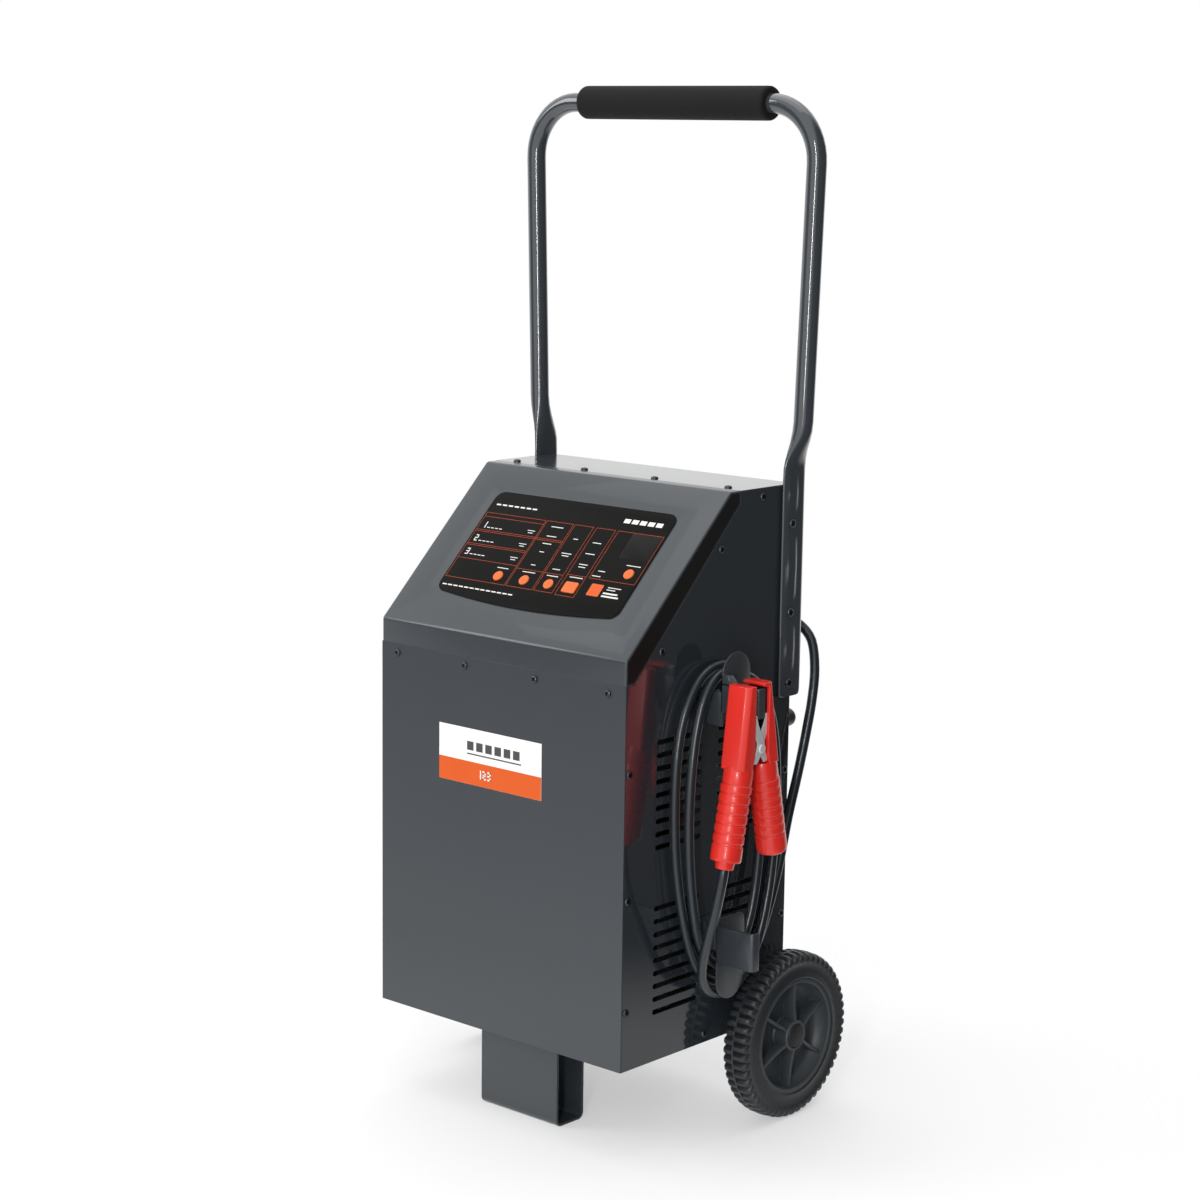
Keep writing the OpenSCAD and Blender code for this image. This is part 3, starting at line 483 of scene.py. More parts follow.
def fillet(points, radii, n=6):
    """A closed outline with its corners rounded by the radii, 0 for a sharp one."""
    out = []
    m = len(points)
    for i, r in enumerate(radii):
        a, b, c = (Vector(points[(i + k) % m]) for k in (-1, 0, 1))
        if not r:
            out.append(tuple(b))
            continue
        u, v = (a - b).normalized(), (c - b).normalized()
        half = u.angle(v) / 2
        t = r / math.tan(half)
        mid = b + (u + v).normalized() * (r / math.sin(half))
        p, q = b + u * t - mid, b + v * t - mid
        turn = p.angle_signed(q)
        for k in range(n + 1):
            w = -turn * k / n
            c, s = math.cos(w), math.sin(w)
            out.append((mid.x + p.x * c - p.y * s, mid.y + p.x * s + p.y * c))
    return out


def painted(ob, material):
    ob.data.materials.clear()
    ob.data.materials.append(material)
    return ob


def done(ob, material, body, nodes, smooth=35):
    """Shades a finished piece and puts it in place of its CAD nodes, on its body."""
    only(ob)
    bpy.ops.object.shade_smooth_by_angle(angle=math.radians(smooth))
    if material:
        painted(ob, material)
    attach(ob, body)
    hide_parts(*nodes)
    return ob


MIRROR = Matrix.Scale(-1, 4, (1, 0, 0))

# ---- sizes shared with the case -------------------------------------------

HALF_W, FRONT_Y, BACK_Y = 165.0, -53.0, 199.0
SEAM_Z, BEND_Z, TOP_Z = 474.0, 498.0, 645.0
SLOPE_TOP_Y, HOOD_END_Y = 98.0, 113.0
SLOPE_LEN = math.hypot(SLOPE_TOP_Y - FRONT_Y, TOP_Z - BEND_Z)
UP = Vector((0, (SLOPE_TOP_Y - FRONT_Y) / SLOPE_LEN, (TOP_Z - BEND_Z) / SLOPE_LEN))
OUT = Vector((0, -UP.z, UP.y))


def slope_at(x, s, z=0.0):
    """A point on the hood's slope in mm: x across, s up from the bend, z out of the face."""
    return Vector((x, FRONT_Y, BEND_Z)) + UP * s + OUT * z


# ---- wheels ---------------------------------------------------------------

AXLE = (0, 172, 85.5)
WHEEL_AXIS = (1, 0, 0)
LUGS, STEPS_PER_LUG = 54, 6
# The share of its radius that the tread keeps at each step round one lug
LUG_SHAPE = (0.95, 0.98, 1.0, 1.0, 1.0, 0.985)
TREAD_MIDDLE = 191.8
CENTRE_RIB = (189.9, 192.1)
GROOVE_R, GROOVE_FULL_R = 77, 79
SPOKES, SPOKE_START, SPOKE_THICK = 6, 27, 3.6


def make_tyre():
    """A solid tyre whose two rows of lugs stand half a lug apart, either side of a whole rib."""
    prof = [(60, 177.6), (61.5, 176.2), (66, 175.8), (72, 176.4), (77.5, 176), (80.4, 176.4), (82.6, 177.4),
            (84.2, 179.2), (85, 182), (85.2, 185.5), (85.2, 189.4), (85.2, 189.8), (85.5, 190), (85.5, 192),
            (85.2, 192.2), (85.2, 192.6), (85.2, 196.5), (85, 200), (84.2, 202.8), (82.6, 204.6), (80.4, 205.6),
            (77.5, 206), (74.5, 204.8), (71, 203.9), (67.5, 204.2), (64.5, 205.2), (62.5, 206), (61.2, 206.3),
            (60, 205.4)]
    ob = lathe("right_tyre_tread", prof, AXLE, WHEEL_AXIS, LUGS * STEPS_PER_LUG)
    grooves = {}
    for v in ob.data.vertices:
        x, y, z = v.co / MM
        r = math.hypot(y - AXLE[1], z - AXLE[2])
        if r < GROOVE_R or CENTRE_RIB[0] < x < CENTRE_RIB[1]:
            continue
        a = math.degrees(math.atan2(z - AXLE[2], y - AXLE[1])) % 360
        shift = 0 if x > TREAD_MIDDLE else STEPS_PER_LUG // 2
        step = round(a / 360 * LUGS * STEPS_PER_LUG + shift) % STEPS_PER_LUG
        kept = LUG_SHAPE[step]
        if r < GROOVE_FULL_R:
            kept = 1 - (1 - kept) * 0.4
        if kept < 1:
            grooves.setdefault(round(kept, 4), set()).add(v.index)
    for kept, places in grooves.items():
        only(ob)
        pick(ob, lambda v: v.index in places)
        bpy.ops.transform.resize(value=(1, kept, kept), center_override=Vector(AXLE) * MM)
        bpy.ops.object.mode_set(mode="OBJECT")
    return ob


def make_rim():
    dish = lathe("right_rim_dish", [
        (8.05, 173), (16, 173), (16, 184), (50, 185), (54, 180), (60, 178), (60, 205), (59.4, 205.4),
        (55.8, 205.4), (55, 204.6), (54.6, 201), (51.5, 191.5), (48.5, 189.2), (44, 188.6), (17.5, 188.6),
        (16.4, 190), (16, 204.2), (15, 205.4), (13.2, 205.4), (12.5, 204.6), (12.5, 203.4), (10, 203.4),
        (10, 200.6), (8.05, 200.6), (8.05, 173)], AXLE, WHEEL_AXIS, 96)
    spokes = []
    for k in range(SPOKES):
        a = math.radians(SPOKE_START + 360 / SPOKES * k)
        d = Vector((0, math.cos(a), math.sin(a)))
        w = Vector((0, -math.sin(a), math.cos(a)))
        path = [(14, 187), (55, 187), (55, 201.5), (50, 200.6), (32, 201.4), (18, 203.6), (14, 203.8)]
        pts = [Vector(AXLE) + d * r + Vector((x, 0, 0)) - w * (SPOKE_THICK / 2) for r, x in path]
        spokes.append(soften(prism("spoke", pts, w * SPOKE_THICK), 0.8, 2))
    return joined("right_rim_dish", [dish] + spokes)


def make_cap():
    return lathe("right_cap_disc", [(0, 203.6), (12, 203.6), (12, 205), (11.2, 205.9), (9, 206.4), (0, 206.7)],
                 AXLE, WHEEL_AXIS, 48)


for maker, mat, node, slot in ((make_tyre, tyre_rubber, "tyre", "tyre_rubber"),
                               (make_rim, rim_plastic, "rim", "rim_plastic"),
                               (make_cap, cap_black, "hub_cap", "cap_plastic")):
    right = maker()
    left = twin(right, MIRROR, right.name.replace("right", "left"))
    done(right, mat, "right_wheel", ["right_" + node])
    done(left, mat, "left_wheel", ["left_" + node])

# ---- clamp ----------------------------------------------------------------

PIVOT = Vector((228, 58.5, 409))
TILT = math.radians(11.6)
HANDLE_TOP = (18.3, -21.0)
GUARD_X = 13.5
GRIP_RIBS, RIB_PITCH = 6, 9.6
TEETH, TOOTH_PITCH = 11, 4
FRONT_GRIP, REAR_GRIP = 87, 93
COIL_R, COIL_HALF, COIL_STEPS, STEPS_PER_TURN = 4.2, 7.2, 120, 17


def clamp_point(side, x, y, z):
    """side is -1 for the front half and 1 for the rear one."""
    return PIVOT + Vector((x, side * y, z))


def insulator(name, side, outline, length):
    """A moulded guard and a ribbed round grip, in one; the outline is the guard's, seen from the side."""
    body = prism(name, [clamp_point(side, -GUARD_X, y, z) for y, z in outline], (2 * GUARD_X, 0, 0))

    def down_the_back(sign):
        def on_back(p):
            return p.y * side > side * PIVOT.y + 13 and (p.x - PIVOT.x) * sign > 0
        return lambda a, b: on_back(a) and on_back(b) and abs(a.z - b.z) > 60
    bevel_where(body, down_the_back(1), 4.8, 1)
    bevel_where(body, down_the_back(-1), 2.0, 1)
    soften(body, 0.9, 3, 25)
    parts = [body]
    if side > 0:
        lo, hi = clamp_point(side, -GUARD_X, 2, 60.2), clamp_point(side, GUARD_X, 11.5, 63.4)
        parts.append(block("flange", lo, hi, 0.9))
    prof = [(0, -6), (12.6, -6), (13.8, -3), (14.4, 0.5), (14.5, 11.4), (14.0, 12.6)]
    for i in range(GRIP_RIBS):
        h = 13 + i * RIB_PITCH
        prof += [(14.4, h), (15.1, h + 0.7), (15.3, h + 1.6), (15.3, h + 6.6), (15.1, h + 7.6), (14.4, h + 8.4)]
    prof += [(14.4, 71), (15.2, 72), (15.3, 83)]
    if side < 0:
        prof += [(15.2, 85.6), (14.4, length), (0, length)]
    else:
        prof += [(15.2, 87), (14.6, 89), (12.8, 90.4), (0, 90.6)]
    axis = Vector((0, side * math.sin(TILT), -math.cos(TILT)))
    parts.append(lathe("handle", prof, clamp_point(side, 0, *HANDLE_TOP), axis, 48))
    return joined(name, parts)


def jaw(name, side, ear_x):
    """A toothed plate between two ears, ear_x mm either side of the middle."""
    teeth = [(9.8, 12), (9.8, 58), (8.3, 58)]
    for i in reversed(range(TEETH)):
        z = i * TOOTH_PITCH
        teeth += [(8.3, 16.5 + z), (5.9, 14.5 + z), (8.3, 13 + z)]
    teeth.append((8.3, 12))
    plate = prism("teeth", [clamp_point(side, -ear_x, y, z) for y, z in teeth], (2 * ear_x, 0, 0))
    # The toothed plate is painted near black for the shade inside the jaws
    parts = [painted(soften(plate, 0.15, 1), jaw_teeth_shade)]
    ear = fillet([(9.6, 40), (5.2, 24), (-4.8, 5), (-4.8, -4), (0.6, -6.4), (6.4, -14.5), (11.8, -13.4),
                  (7.6, -2.4), (5.8, 5), (9.6, 13)][::-1],
                 [1, 2.5, 2.5, 1.5, 1.5, 3, 4, 4, 6, 1], 4)
    for x in (-ear_x, ear_x):
        arm = prism("ear", [clamp_point(side, x - 0.7, y, z) for y, z in ear], (1.4, 0, 0))
        parts.append(painted(soften(arm, 0.35, 2), jaw_plate))
    return joined(name, parts)


front_guard = [(9.8, 12), (9.8, 62), (21, 62), (31, -18), (13.8, -19), (10.2, -8)]
rear_guard = [(9.8, 12), (9.8, 63.4), (17, 63.4), (30.5, -16), (13.8, -17), (10.2, -8)]
done(insulator("clamp_front_grip", -1, front_guard, FRONT_GRIP),
     clamp_red, "cabinet", ["clamp_front_insulator"], 30)
done(insulator("clamp_rear_grip", 1, rear_guard, REAR_GRIP),
     clamp_red, "clamp_rear_half", ["clamp_rear_insulator"], 30)
done(jaw("clamp_front_teeth", -1, 12), None, "cabinet", ["clamp_front_jaw"], 30)
done(jaw("clamp_rear_teeth", 1, 10.4), None, "clamp_rear_half", ["clamp_rear_jaw"], 30)
done(lathe("clamp_rivet", [(0, -14.9), (2.6, -14.8), (4.2, -14.1), (4.6, -13.2), (4.6, -12.9), (3, -12.9),
                           (3, 12.9), (4.6, 12.9), (4.6, 13.2), (4.2, 14.1), (2.6, 14.8), (0, 14.9)],
           PIVOT, (1, 0, 0), 32),
     jaw_plate, "cabinet", ["clamp_pin"])
coil = []
for i in range(COIL_STEPS + 1):
    a = i * 2 * math.pi / STEPS_PER_TURN
    coil.append(PIVOT + Vector((-COIL_HALF + 2 * COIL_HALF * i / COIL_STEPS, COIL_R * math.cos(a),
                                COIL_R * math.sin(a))))
done(tube("clamp_coil", coil, 1.0), spring_dark, "cabinet", ["clamp_spring"])
front_axis = Vector((0, -math.sin(TILT), -math.cos(TILT)))
done(lathe("clamp_sleeve", [(0, -0.5), (9.6, -0.5), (9.8, 0.6), (9.5, 2.2), (9.1, 4.8), (8.9, 6.8), (8.3, 7.8),
                            (5.2, 8.2), (0, 8.2)],
           clamp_point(-1, 0, *HANDLE_TOP) + front_axis * FRONT_GRIP, front_axis, 40),
     clamp_red, "cabinet", ["clamp_boot"])

# ---- hood -----------------------------------------------------------------

SKIN = 1.5
RECESS_S, RECESS_DEEP = 110.0, 1.2
# Width, height, corner radius and bow of the lower edge: the pressed recess, and the film that lies in it
RECESS, FILM = (246, 134, 12, 7), (243, 131, 11, 7)
CUTTER_HIGH = 1.2
# The hood's section as (y, z): front lip, seam, underside, rear flange, top
FLANGE = [(FRONT_Y, BEND_Z), (FRONT_Y, SEAM_Z), (-41, SEAM_Z), (-37, 477.5), (HOOD_END_Y, 631.5),
          (HOOD_END_Y, TOP_Z), (SLOPE_TOP_Y, TOP_Z)]
ROUND_KEYS = {"rate": (-52, 72), "mode": (-16.5, 72), "type": (16.5, 72), "test": (105, 98)}
START_KEY, START_SIZE = (45.5, 72), (17, 13)
WINDOW, WINDOW_SIZE = (99, 131), (38, 32)
FOLDS = [6, 0, 0, 0, 0, 0, 6]
SIDE_EDGE, FILM_THICK = 2.2, 0.3


def bowed(w, h, r, bow, n=14):
    """A rounded rectangle on the slope whose lower edge bows down, as (x, s)."""
    x, y = w / 2 - r, h / 2 - r
    pts = arc(x, y, r, 0, 90) + arc(-x, y, r, 90, 180) + arc(-x, -y, r, 180, 262)
    pts += [(x * t, -h / 2 - bow * (1 - t * t)) for t in (-1 + 2 * (k + 1) / n for k in range(n - 1))]
    pts += arc(x, -y, r, 278, 360)
    return [(a, b + RECESS_S) for a, b in pts]


def slab_on_slope(name, outline, z0, z1):
    return prism(name, [slope_at(x, s, z0) for x, s in outline], OUT * (z1 - z0))


def key_holes(ob, extra):
    for x, s in ROUND_KEYS.values():
        ob = cut(ob, slab_on_slope("hole", arc(x, s, 6.3 + extra, 0, 345, 23), -6, 3))
    w, h = START_SIZE
    return cut(ob, slab_on_slope("hole", rounded_rect(w + 1, h + 1, 2.5, *START_KEY), -6, 3))


def make_hood():
    """A folded sheet hood with rounded side edges, a pressed recess and holes for the keys."""
    outer = fillet(FLANGE, FOLDS, 7)
    body = prism("hood_shell", [(-HALF_W, y, z) for y, z in outer], (2 * HALF_W, 0, 0))

    def along_side(a, b):
        if abs(a.x - b.x) > 1:
            return False
        m = (a + b) / 2
        s_out = (Vector((0, m.y, m.z)) - slope_at(0, 0)).dot(OUT)
        return m.y < -48 or m.z > 640 or s_out > -4
    bevel_where(body, along_side, SIDE_EDGE, 4)
    deep = slab_on_slope("recess", bowed(*RECESS), -RECESS_DEEP, CUTTER_HIGH)
    middle = slope_at(0, RECESS_S, CUTTER_HIGH)
    only(deep)
    # The cutter's outer face is widened, so that the recess gets sloping walls
    pick(deep, lambda v: (v.co / MM - middle).dot(OUT) > -0.1)
    turn = Matrix((Vector((1, 0, 0)), UP, OUT)).transposed()
    bpy.ops.transform.resize(value=(1.09, 1.16, 1), center_override=middle * MM, orient_type="GLOBAL",
                             orient_matrix=turn, orient_matrix_type="GLOBAL")
    bpy.ops.object.mode_set(mode="OBJECT")
    cut(body, deep)
    inner = offset(FLANGE, SKIN)
    inner = [inner[0], (inner[1][0], SEAM_Z - 8), (150, SEAM_Z - 8), (150, inner[6][1]), inner[6]]
    cut(body, prism("inside", [(-HALF_W + SKIN, y, z) for y, z in inner], (2 * (HALF_W - SKIN), 0, 0)))
    return key_holes(body, 0)


done(make_hood(), case_paint, "cabinet", ["control_hood"], 32)
side_outline = offset(fillet(FLANGE, FOLDS, 7), SIDE_EDGE)
films = [prism("film", [(x, y, z) for y, z in side_outline], (FILM_THICK, 0, 0))
         for x in (HALF_W, -HALF_W - FILM_THICK)]
done(joined("hood_side_films", films), black_film, "cabinet", ["hood_stripes"])

# ---- keypad ---------------------------------------------------------------

FILM_Z = -0.2
INK_SUNK, INK_HIGH, RULE = 0.05, 0.06, 0.36
SEGMENTS = {"1": "bc", "2": "abged", "3": "abgcd"}
# Printing on the film, in mm across and up the slope
PANES = [(-119, -36.5, 62, 147), (-35, 1, 62, 147), (3, 28, 62, 147), (32, 57, 61, 147), (60.5, 119.5, 86.5, 147)]
LONG_RULES = [(141.5, -36.5), (124.4, 0.8), (122.4, 0.8), (106.2, -36.5), (104.2, -36.5), (87, -36.5)]
RATING_ROWS, RATING_X = (("1", 127.2), ("2", 109.8), ("3", 92)), -113.5
CAPTIONS = [(-52, 81.5, 15), (-16.5, 81.5, 17), (15.5, 81.5, 15), (45.5, 84, 17), (-17, 140, 16),
            (-17, 128, 13), (-17, 118.5, 12), (-17, 108, 6), (-17, 91, 6), (15, 129, 6), (15, 110.4, 13),
            (15, 107.4, 9), (15, 90, 10), (44, 128, 11), (44, 114, 12), (44, 100.5, 11), (44, 97.2, 9),
            (71, 96, 9), (68, 89.5, 11), (105, 107.5, 18), (99, 78.6, 17), (96, 75.8, 11)]


def bar(x0, x1, s0, s1):
    return slab_on_slope("print", [(x0, s0), (x1, s0), (x1, s1), (x0, s1)], FILM_Z - INK_SUNK, FILM_Z + INK_HIGH)


def frame_lines(x0, x1, s0, s1, w=RULE):
    return [bar(x0, x1, s0, s0 + w), bar(x0, x1, s1 - w, s1), bar(x0, x0 + w, s0, s1), bar(x1 - w, x1, s0, s1)]


def digits(text, x, s, h, place, w=1.15):
    """Plain segment digits from bars; place makes one bar from x0, x1, s0, s1."""
    out = []
    for ch in text:
        wide = h * 0.52
        box = {"a": (0, wide, h - w, h), "d": (0, wide, 0, w), "g": (0, wide, h / 2 - w / 2, h / 2 + w / 2),
               "f": (0, w, h / 2, h), "e": (0, w, 0, h / 2), "b": (wide - w, wide, h / 2, h),
               "c": (wide - w, wide, 0, h / 2)}
        for k in SEGMENTS[ch]:
            a, b, c, d = box[k]
            out.append(place(x + a, x + b, s + c, s + d))
        x += wide + h * 0.22
    return out


def make_keypad():
    """The film with its printed rules, blocks and row numbers, none of which is real wording."""
    film = soften(slab_on_slope("keypad_film", bowed(*FILM), -RECESS_DEEP, FILM_Z), 0.3, 2, 60)
    w, h = WINDOW_SIZE
    film = cut(key_holes(film, -0.1), slab_on_slope("hole", rounded_rect(w, h, 2, *WINDOW), -6, 3))
    painted(film, keypad_black)
    lines = [line for pane in PANES for line in frame_lines(*pane)]
    lines += [bar(PANES[0][0], x1, s, s + RULE) for s, x1 in LONG_RULES]
    lines += [bar(-35, 28, 84.6, 84.96), bar(32, 57, 86.8, 87.16)]
    orange = painted(joined("orange", lines), line_orange)
    tile = slab_on_slope("tile", rounded_rect(15.5, 14.5, 1.2, 77, 73.8), FILM_Z - INK_SUNK, FILM_Z + 0.08)
    painted(tile, print_orange)
    white = []
    for text, s in RATING_ROWS:
        white += digits(text, RATING_X, s, 8, bar)
        x = RATING_X + 6 * len(text) + 0.5
        for k in range(4):
            white.append(bar(x + k * 5.6 + 0.4, x + k * 5.6 + 4.4, s + 0.6, s + 1.5))
        white += [bar(-52, -42, s + 4.2, s + 5), bar(-50, -43.5, s + 1.4, s + 2.2)]
    for k in range(7):
        white.append(bar(-113.5 + k * 8.4, -107.5 + k * 8.4, 157.4, 159.2))
    for k in range(13):
        white.append(bar(-116 + k * 7.6, -110.2 + k * 7.6, 51.6, 53))
    white += [bar(x - w / 2, x + w / 2, s, s + 0.9) for x, s, w in CAPTIONS]
    white += [bar(88.5, 107, 71, 72.8), bar(88.5, 110, 67.4, 69.2)]
    white += frame_lines(73.5, 80.5, 69, 78.5, 1.1) + [bar(75.6, 78.4, 71.4, 76)]
    for k in range(5):
        white.append(bar(60 + k * 10.4, 68 + k * 10.4, 157.2, 162.4))
    ink = painted(joined("white", white), print_white)
    return joined("keypad_film", [film, orange, tile, ink])


done(make_keypad(), None, "cabinet", ["keypad_overlay"], 30)


def make_window():
    w, h = WINDOW_SIZE
    glass = slab_on_slope("display_glass", rounded_rect(w - 0.3, h - 0.3, 2, *WINDOW), -RECESS_DEEP, FILM_Z)
    return soften(glass, 0.2, 2, 60)


def round_key(name, x, s):
    """A domed cap on a thin stem."""
    return lathe(name, [(0, -6), (2.5, -6), (2.5, -1.2), (5.8, -1.2), (5.8, 0.1), (5.55, 0.5), (5.0, 0.75),
                        (4.2, 0.82), (0, 0.9)], slope_at(x, s), OUT, 40)


def start_key(name):
    w, h = START_SIZE
    cap = soften(slab_on_slope(name, rounded_rect(w, h, 2, *START_KEY), -1.2, 0.8), 0.45, 3, 60)
    stem = lathe("stem", [(0, -6), (2.5, -6), (2.5, -0.8), (0, -0.8)], slope_at(*START_KEY), OUT, 24)
    return joined(name, [cap, stem])


done(make_window(), window_smoke, "cabinet", ["display_window"])
for key, (x, s) in ROUND_KEYS.items():
    done(round_key("key_%s_cap" % key, x, s), key_orange, "key_" + key, ["button_" + key])
done(start_key("key_start_cap"), key_orange, "key_start", ["button_start"])

# ---- label ----------------------------------------------------------------

LABEL = (-82, 58, 345, 402)
BAND_TOP_Z, BLOCKS, BLOCK_PITCH = 368.5, 6, 12.6


def mark(x0, x1, z0, z1, high=0.06):
    y = FRONT_Y - 0.4
    return prism("mark", [(x0, y, z0), (x1, y, z0), (x1, y, z1), (x0, y, z1)], (0, -high - 0.1, 0))


def make_label():
    """White sheet with plain blocks over an orange band with a number."""
    x0, x1, z0, z1 = LABEL
    sheet = soften(block("label_sheet", (x0, FRONT_Y - 0.5, z0), (x1, FRONT_Y, z1)), 0.12, 2)
    painted(sheet, label_white)
    band = painted(mark(x0 + 0.1, x1 - 0.1, z0 + 0.1, BAND_TOP_Z, 0.03), print_orange)
    dark = [mark(-43 + k * BLOCK_PITCH, -34 + k * BLOCK_PITCH, 380, 389) for k in range(BLOCKS)]
    dark.append(mark(-43, 31, 375.6, 377))
    dark = painted(joined("dark", dark), print_grey)
    pale = painted(joined("pale", digits("123", -28, 352.5, 9, mark, 1.6)), print_white)
    return joined("label_sheet", [sheet, band, dark, pale])


done(make_label(), None, "cabinet", ["front_label"], 30)

# ---- screws ---------------------------------------------------------------


def pan_head(r, h, deep):
    """A domed head with a cross recess, and a length of its shank."""
    ob = lathe("pan_head", [(0, h), (r * 0.5, h * 0.97), (r * 0.78, h * 0.8), (r * 0.93, h * 0.5), (r, h * 0.14),
                            (r, 0), (r * 0.5, 0), (r * 0.5, -deep), (0, -deep)], (0, 0, 0), (0, 0, 1), 24)
    for a, b in ((r * 0.56, r * 0.13), (r * 0.13, r * 0.56)):
        cut(ob, block("slot", (-a, -b, h * 0.35), (a, b, h + 1)))
    return ob


def screws(name, head, places, facing, material, node):
    """One copy of the head at each place, in mm, facing outwards, turned at random."""
    parts = []
    for p, out in zip(places, facing):
        turn = Vector((0, 0, 1)).rotation_difference(Vector(out)).to_matrix().to_4x4()
        spin = Matrix.Rotation(random.uniform(0, math.pi / 2), 4, "Z")
        parts.append(twin(head, Matrix.Translation(Vector(p) * MM) @ turn @ spin, "screw"))
    done(joined(name, parts), material, "cabinet", [node], 40)


SIDE_AT = [(-46.5, 388), (-46.5, 264), (-46.5, 153), (193, 353), (193, 202), (73, 103), (147.5, 636), (84.5, 590),
           (-2, 501)]
STRIP_AT = [(188, 606), (188, 516), (188, 444)]
BACK_AT = [(-150, 620), (0, 620), (150, 620), (-150, 130), (150, 130), (-150, 440), (150, 300)]
ROW = (-142.5, -47.5, 47.5, 142.5)
head = pan_head(4.0, 2.2, 1.0)
screws("front_heads", head, [(x, FRONT_Y, 464.5) for x in ROW], [(0, -1, 0)] * 4, screw_black, "front_screws")
screws("top_heads", head, [(x, 121, TOP_Z) for x in ROW], [(0, 0, 1)] * 4, screw_black, "top_screws")
both = [(s, y, z) for s in (1, -1) for y, z in SIDE_AT]
screws("side_heads", head, [(s * HALF_W, y, z) for s, y, z in both], [(s, 0, 0) for s, y, z in both], screw_black,
       "side_screws")
screws("back_heads", head, [(x, BACK_Y, z) for x, z in BACK_AT], [(0, 1, 0)] * 7, screw_black, "back_screws")
bpy.data.objects.remove(head, do_unlink=True)
head = pan_head(4.6, 2.6, 3.5)
both = [(s, y, z) for s in (1, -1) for y, z in STRIP_AT]
screws("strip_heads", head, [(s * 171, y, z) for s, y, z in both], [(s, 0, 0) for s, y, z in both], screw_black,
       "handle_screws")
bpy.data.objects.remove(head, do_unlink=True)

# ---- handle ---------------------------------------------------------------

LEG_Y, BAR_Z, BEND_X, BEND_ZC, BEND_R = 193.0, 1017.0, 130.0, 961.0, 56.0
TUBE_R, LEAN_DEG, BEND_STEPS, SIDES = 10, 1.8, 12, 32
LEAN = math.radians(LEAN_DEG)
FLAT_X, STRAIGHT_END_Z = 168, 708
# The flattened end is pressed flat at each screw and swells between them: (height, swell)
DENTS = ((648, 1.2), (636, 2.2), (624, 1.6), (615, 0.3), (606, 0), (597, 0.3), (586, 1.6), (561, 2.8), (536, 1.6),
         (525, 0.3), (516, 0), (507, 0.3), (497, 1.5), (480, 2.4), (463, 1.5), (453, 0.3), (444, 0), (435, 0.2))


def make_handle():
    """Half the tube is drawn from the middle of the bar down to the flattened end, then mirrored."""
    rings = [((0, BAR_Z), 90, TUBE_R, TUBE_R), ((BEND_X, BAR_Z), 90, TUBE_R, TUBE_R)]
    for k in range(1, BEND_STEPS + 1):
        a = math.radians(90 - (90 + LEAN_DEG) * k / BEND_STEPS)
        at = (BEND_X + BEND_R * math.cos(a), BEND_ZC + BEND_R * math.sin(a))
        rings.append((at, math.degrees(a), TUBE_R, TUBE_R))
    top = rings[-1][0]
    straight_x = top[0] - (top[1] - STRAIGHT_END_Z) * math.tan(LEAN)
    rings.append(((straight_x, STRAIGHT_END_Z), -LEAN_DEG, TUBE_R, TUBE_R))
    for z, x, thick, wide in ((698, 177.0, 9.7, 10.6), (688, 174.6, 8.4, 12.2), (678, 171.6, 6.4, 14.2),
                              (669, 169.4, 4.9, 15.9), (661, 168.3, 4.3, 16.8)):
        rings.append(((x, z), 0, thick, wide))
    rings += [((FLAT_X, z), 0, 4.2, 17) for z, swell in DENTS]
    rings += [((FLAT_X, 431), 0, 3.9, 16.4), ((FLAT_X, 430), 0, 3.2, 15.2)]
    rest()
    bpy.ops.mesh.primitive_circle_add(vertices=SIDES, radius=1 * MM, fill_type="NOTHING")
    ob = bpy.context.object
    ob.name = ob.data.name = "handle_frame"
    bpy.ops.object.mode_set(mode="EDIT")
    bpy.ops.mesh.select_all(action="SELECT")
    old_at, old_a, old_t, old_w = Vector((0, 0, 0)), 0.0, 1.0, 1.0
    for i, ((x, z), a, thick, wide) in enumerate(rings):
        at = Vector((x, LEG_Y, z)) * MM
        if i:
            bpy.ops.mesh.extrude_region_move(TRANSFORM_OT_translate={"value": at - old_at})
        else:
            bpy.ops.transform.translate(value=at)
        bpy.ops.transform.rotate(value=math.radians(a - old_a), orient_axis="Y", center_override=at)
        turn = Matrix.Rotation(-math.radians(a), 3, "Y")
        bpy.ops.transform.resize(value=(thick / old_t, wide / old_w, 1), center_override=at, orient_type="GLOBAL",
                                 orient_matrix=turn, orient_matrix_type="GLOBAL")
        old_at, old_a, old_t, old_w = at, a, thick, wide
    bpy.ops.mesh.edge_face_add()
    # Both faces of the flattened end are pressed to a plane, then the outer one gets its swells
    for plane, sign in ((HALF_W + 6, 1), (HALF_W, -1)):
        def past_plane(v):
            x, y, z = v.co / MM
            return z < 662 and (x - plane) * sign > 0
        pick(ob, past_plane)
        bpy.ops.transform.resize(value=(0, 1, 1), center_override=Vector((plane, LEG_Y, 500)) * MM)
    for height, swell in DENTS:
        def at_dent(v):
            x, y, z = v.co / MM
            return abs(z - height) < 0.3 and x > HALF_W + 5.9 and y < LEG_Y + 1
        pick(ob, at_dent)
        bpy.ops.transform.translate(value=(swell * MM, 0, 0))
    close_up()
    other = twin(ob, MIRROR, "other")
    both = joined("handle_frame", [ob, other])
    only(both)
    bpy.ops.object.mode_set(mode="EDIT")
    close_up()
    return both


done(make_handle(), tube_paint, "cabinet", ["handle_tube"], 40)
done(lathe("foam_sleeve", [(10, -116), (14.6, -116), (16.1, -115.3), (16.9, -113.6), (17, -111), (17, 124),
                           (16.9, 126.6), (16.1, 128.3), (14.6, 129), (10, 129)],
           (0, LEG_Y, BAR_Z), (1, 0, 0), 64),
     foam, "cabinet", ["foam_grip"], 50)

# ---- cable hooks ----------------------------------------------------------

HOOK_Y, TAB_X = 53.0, 194.0


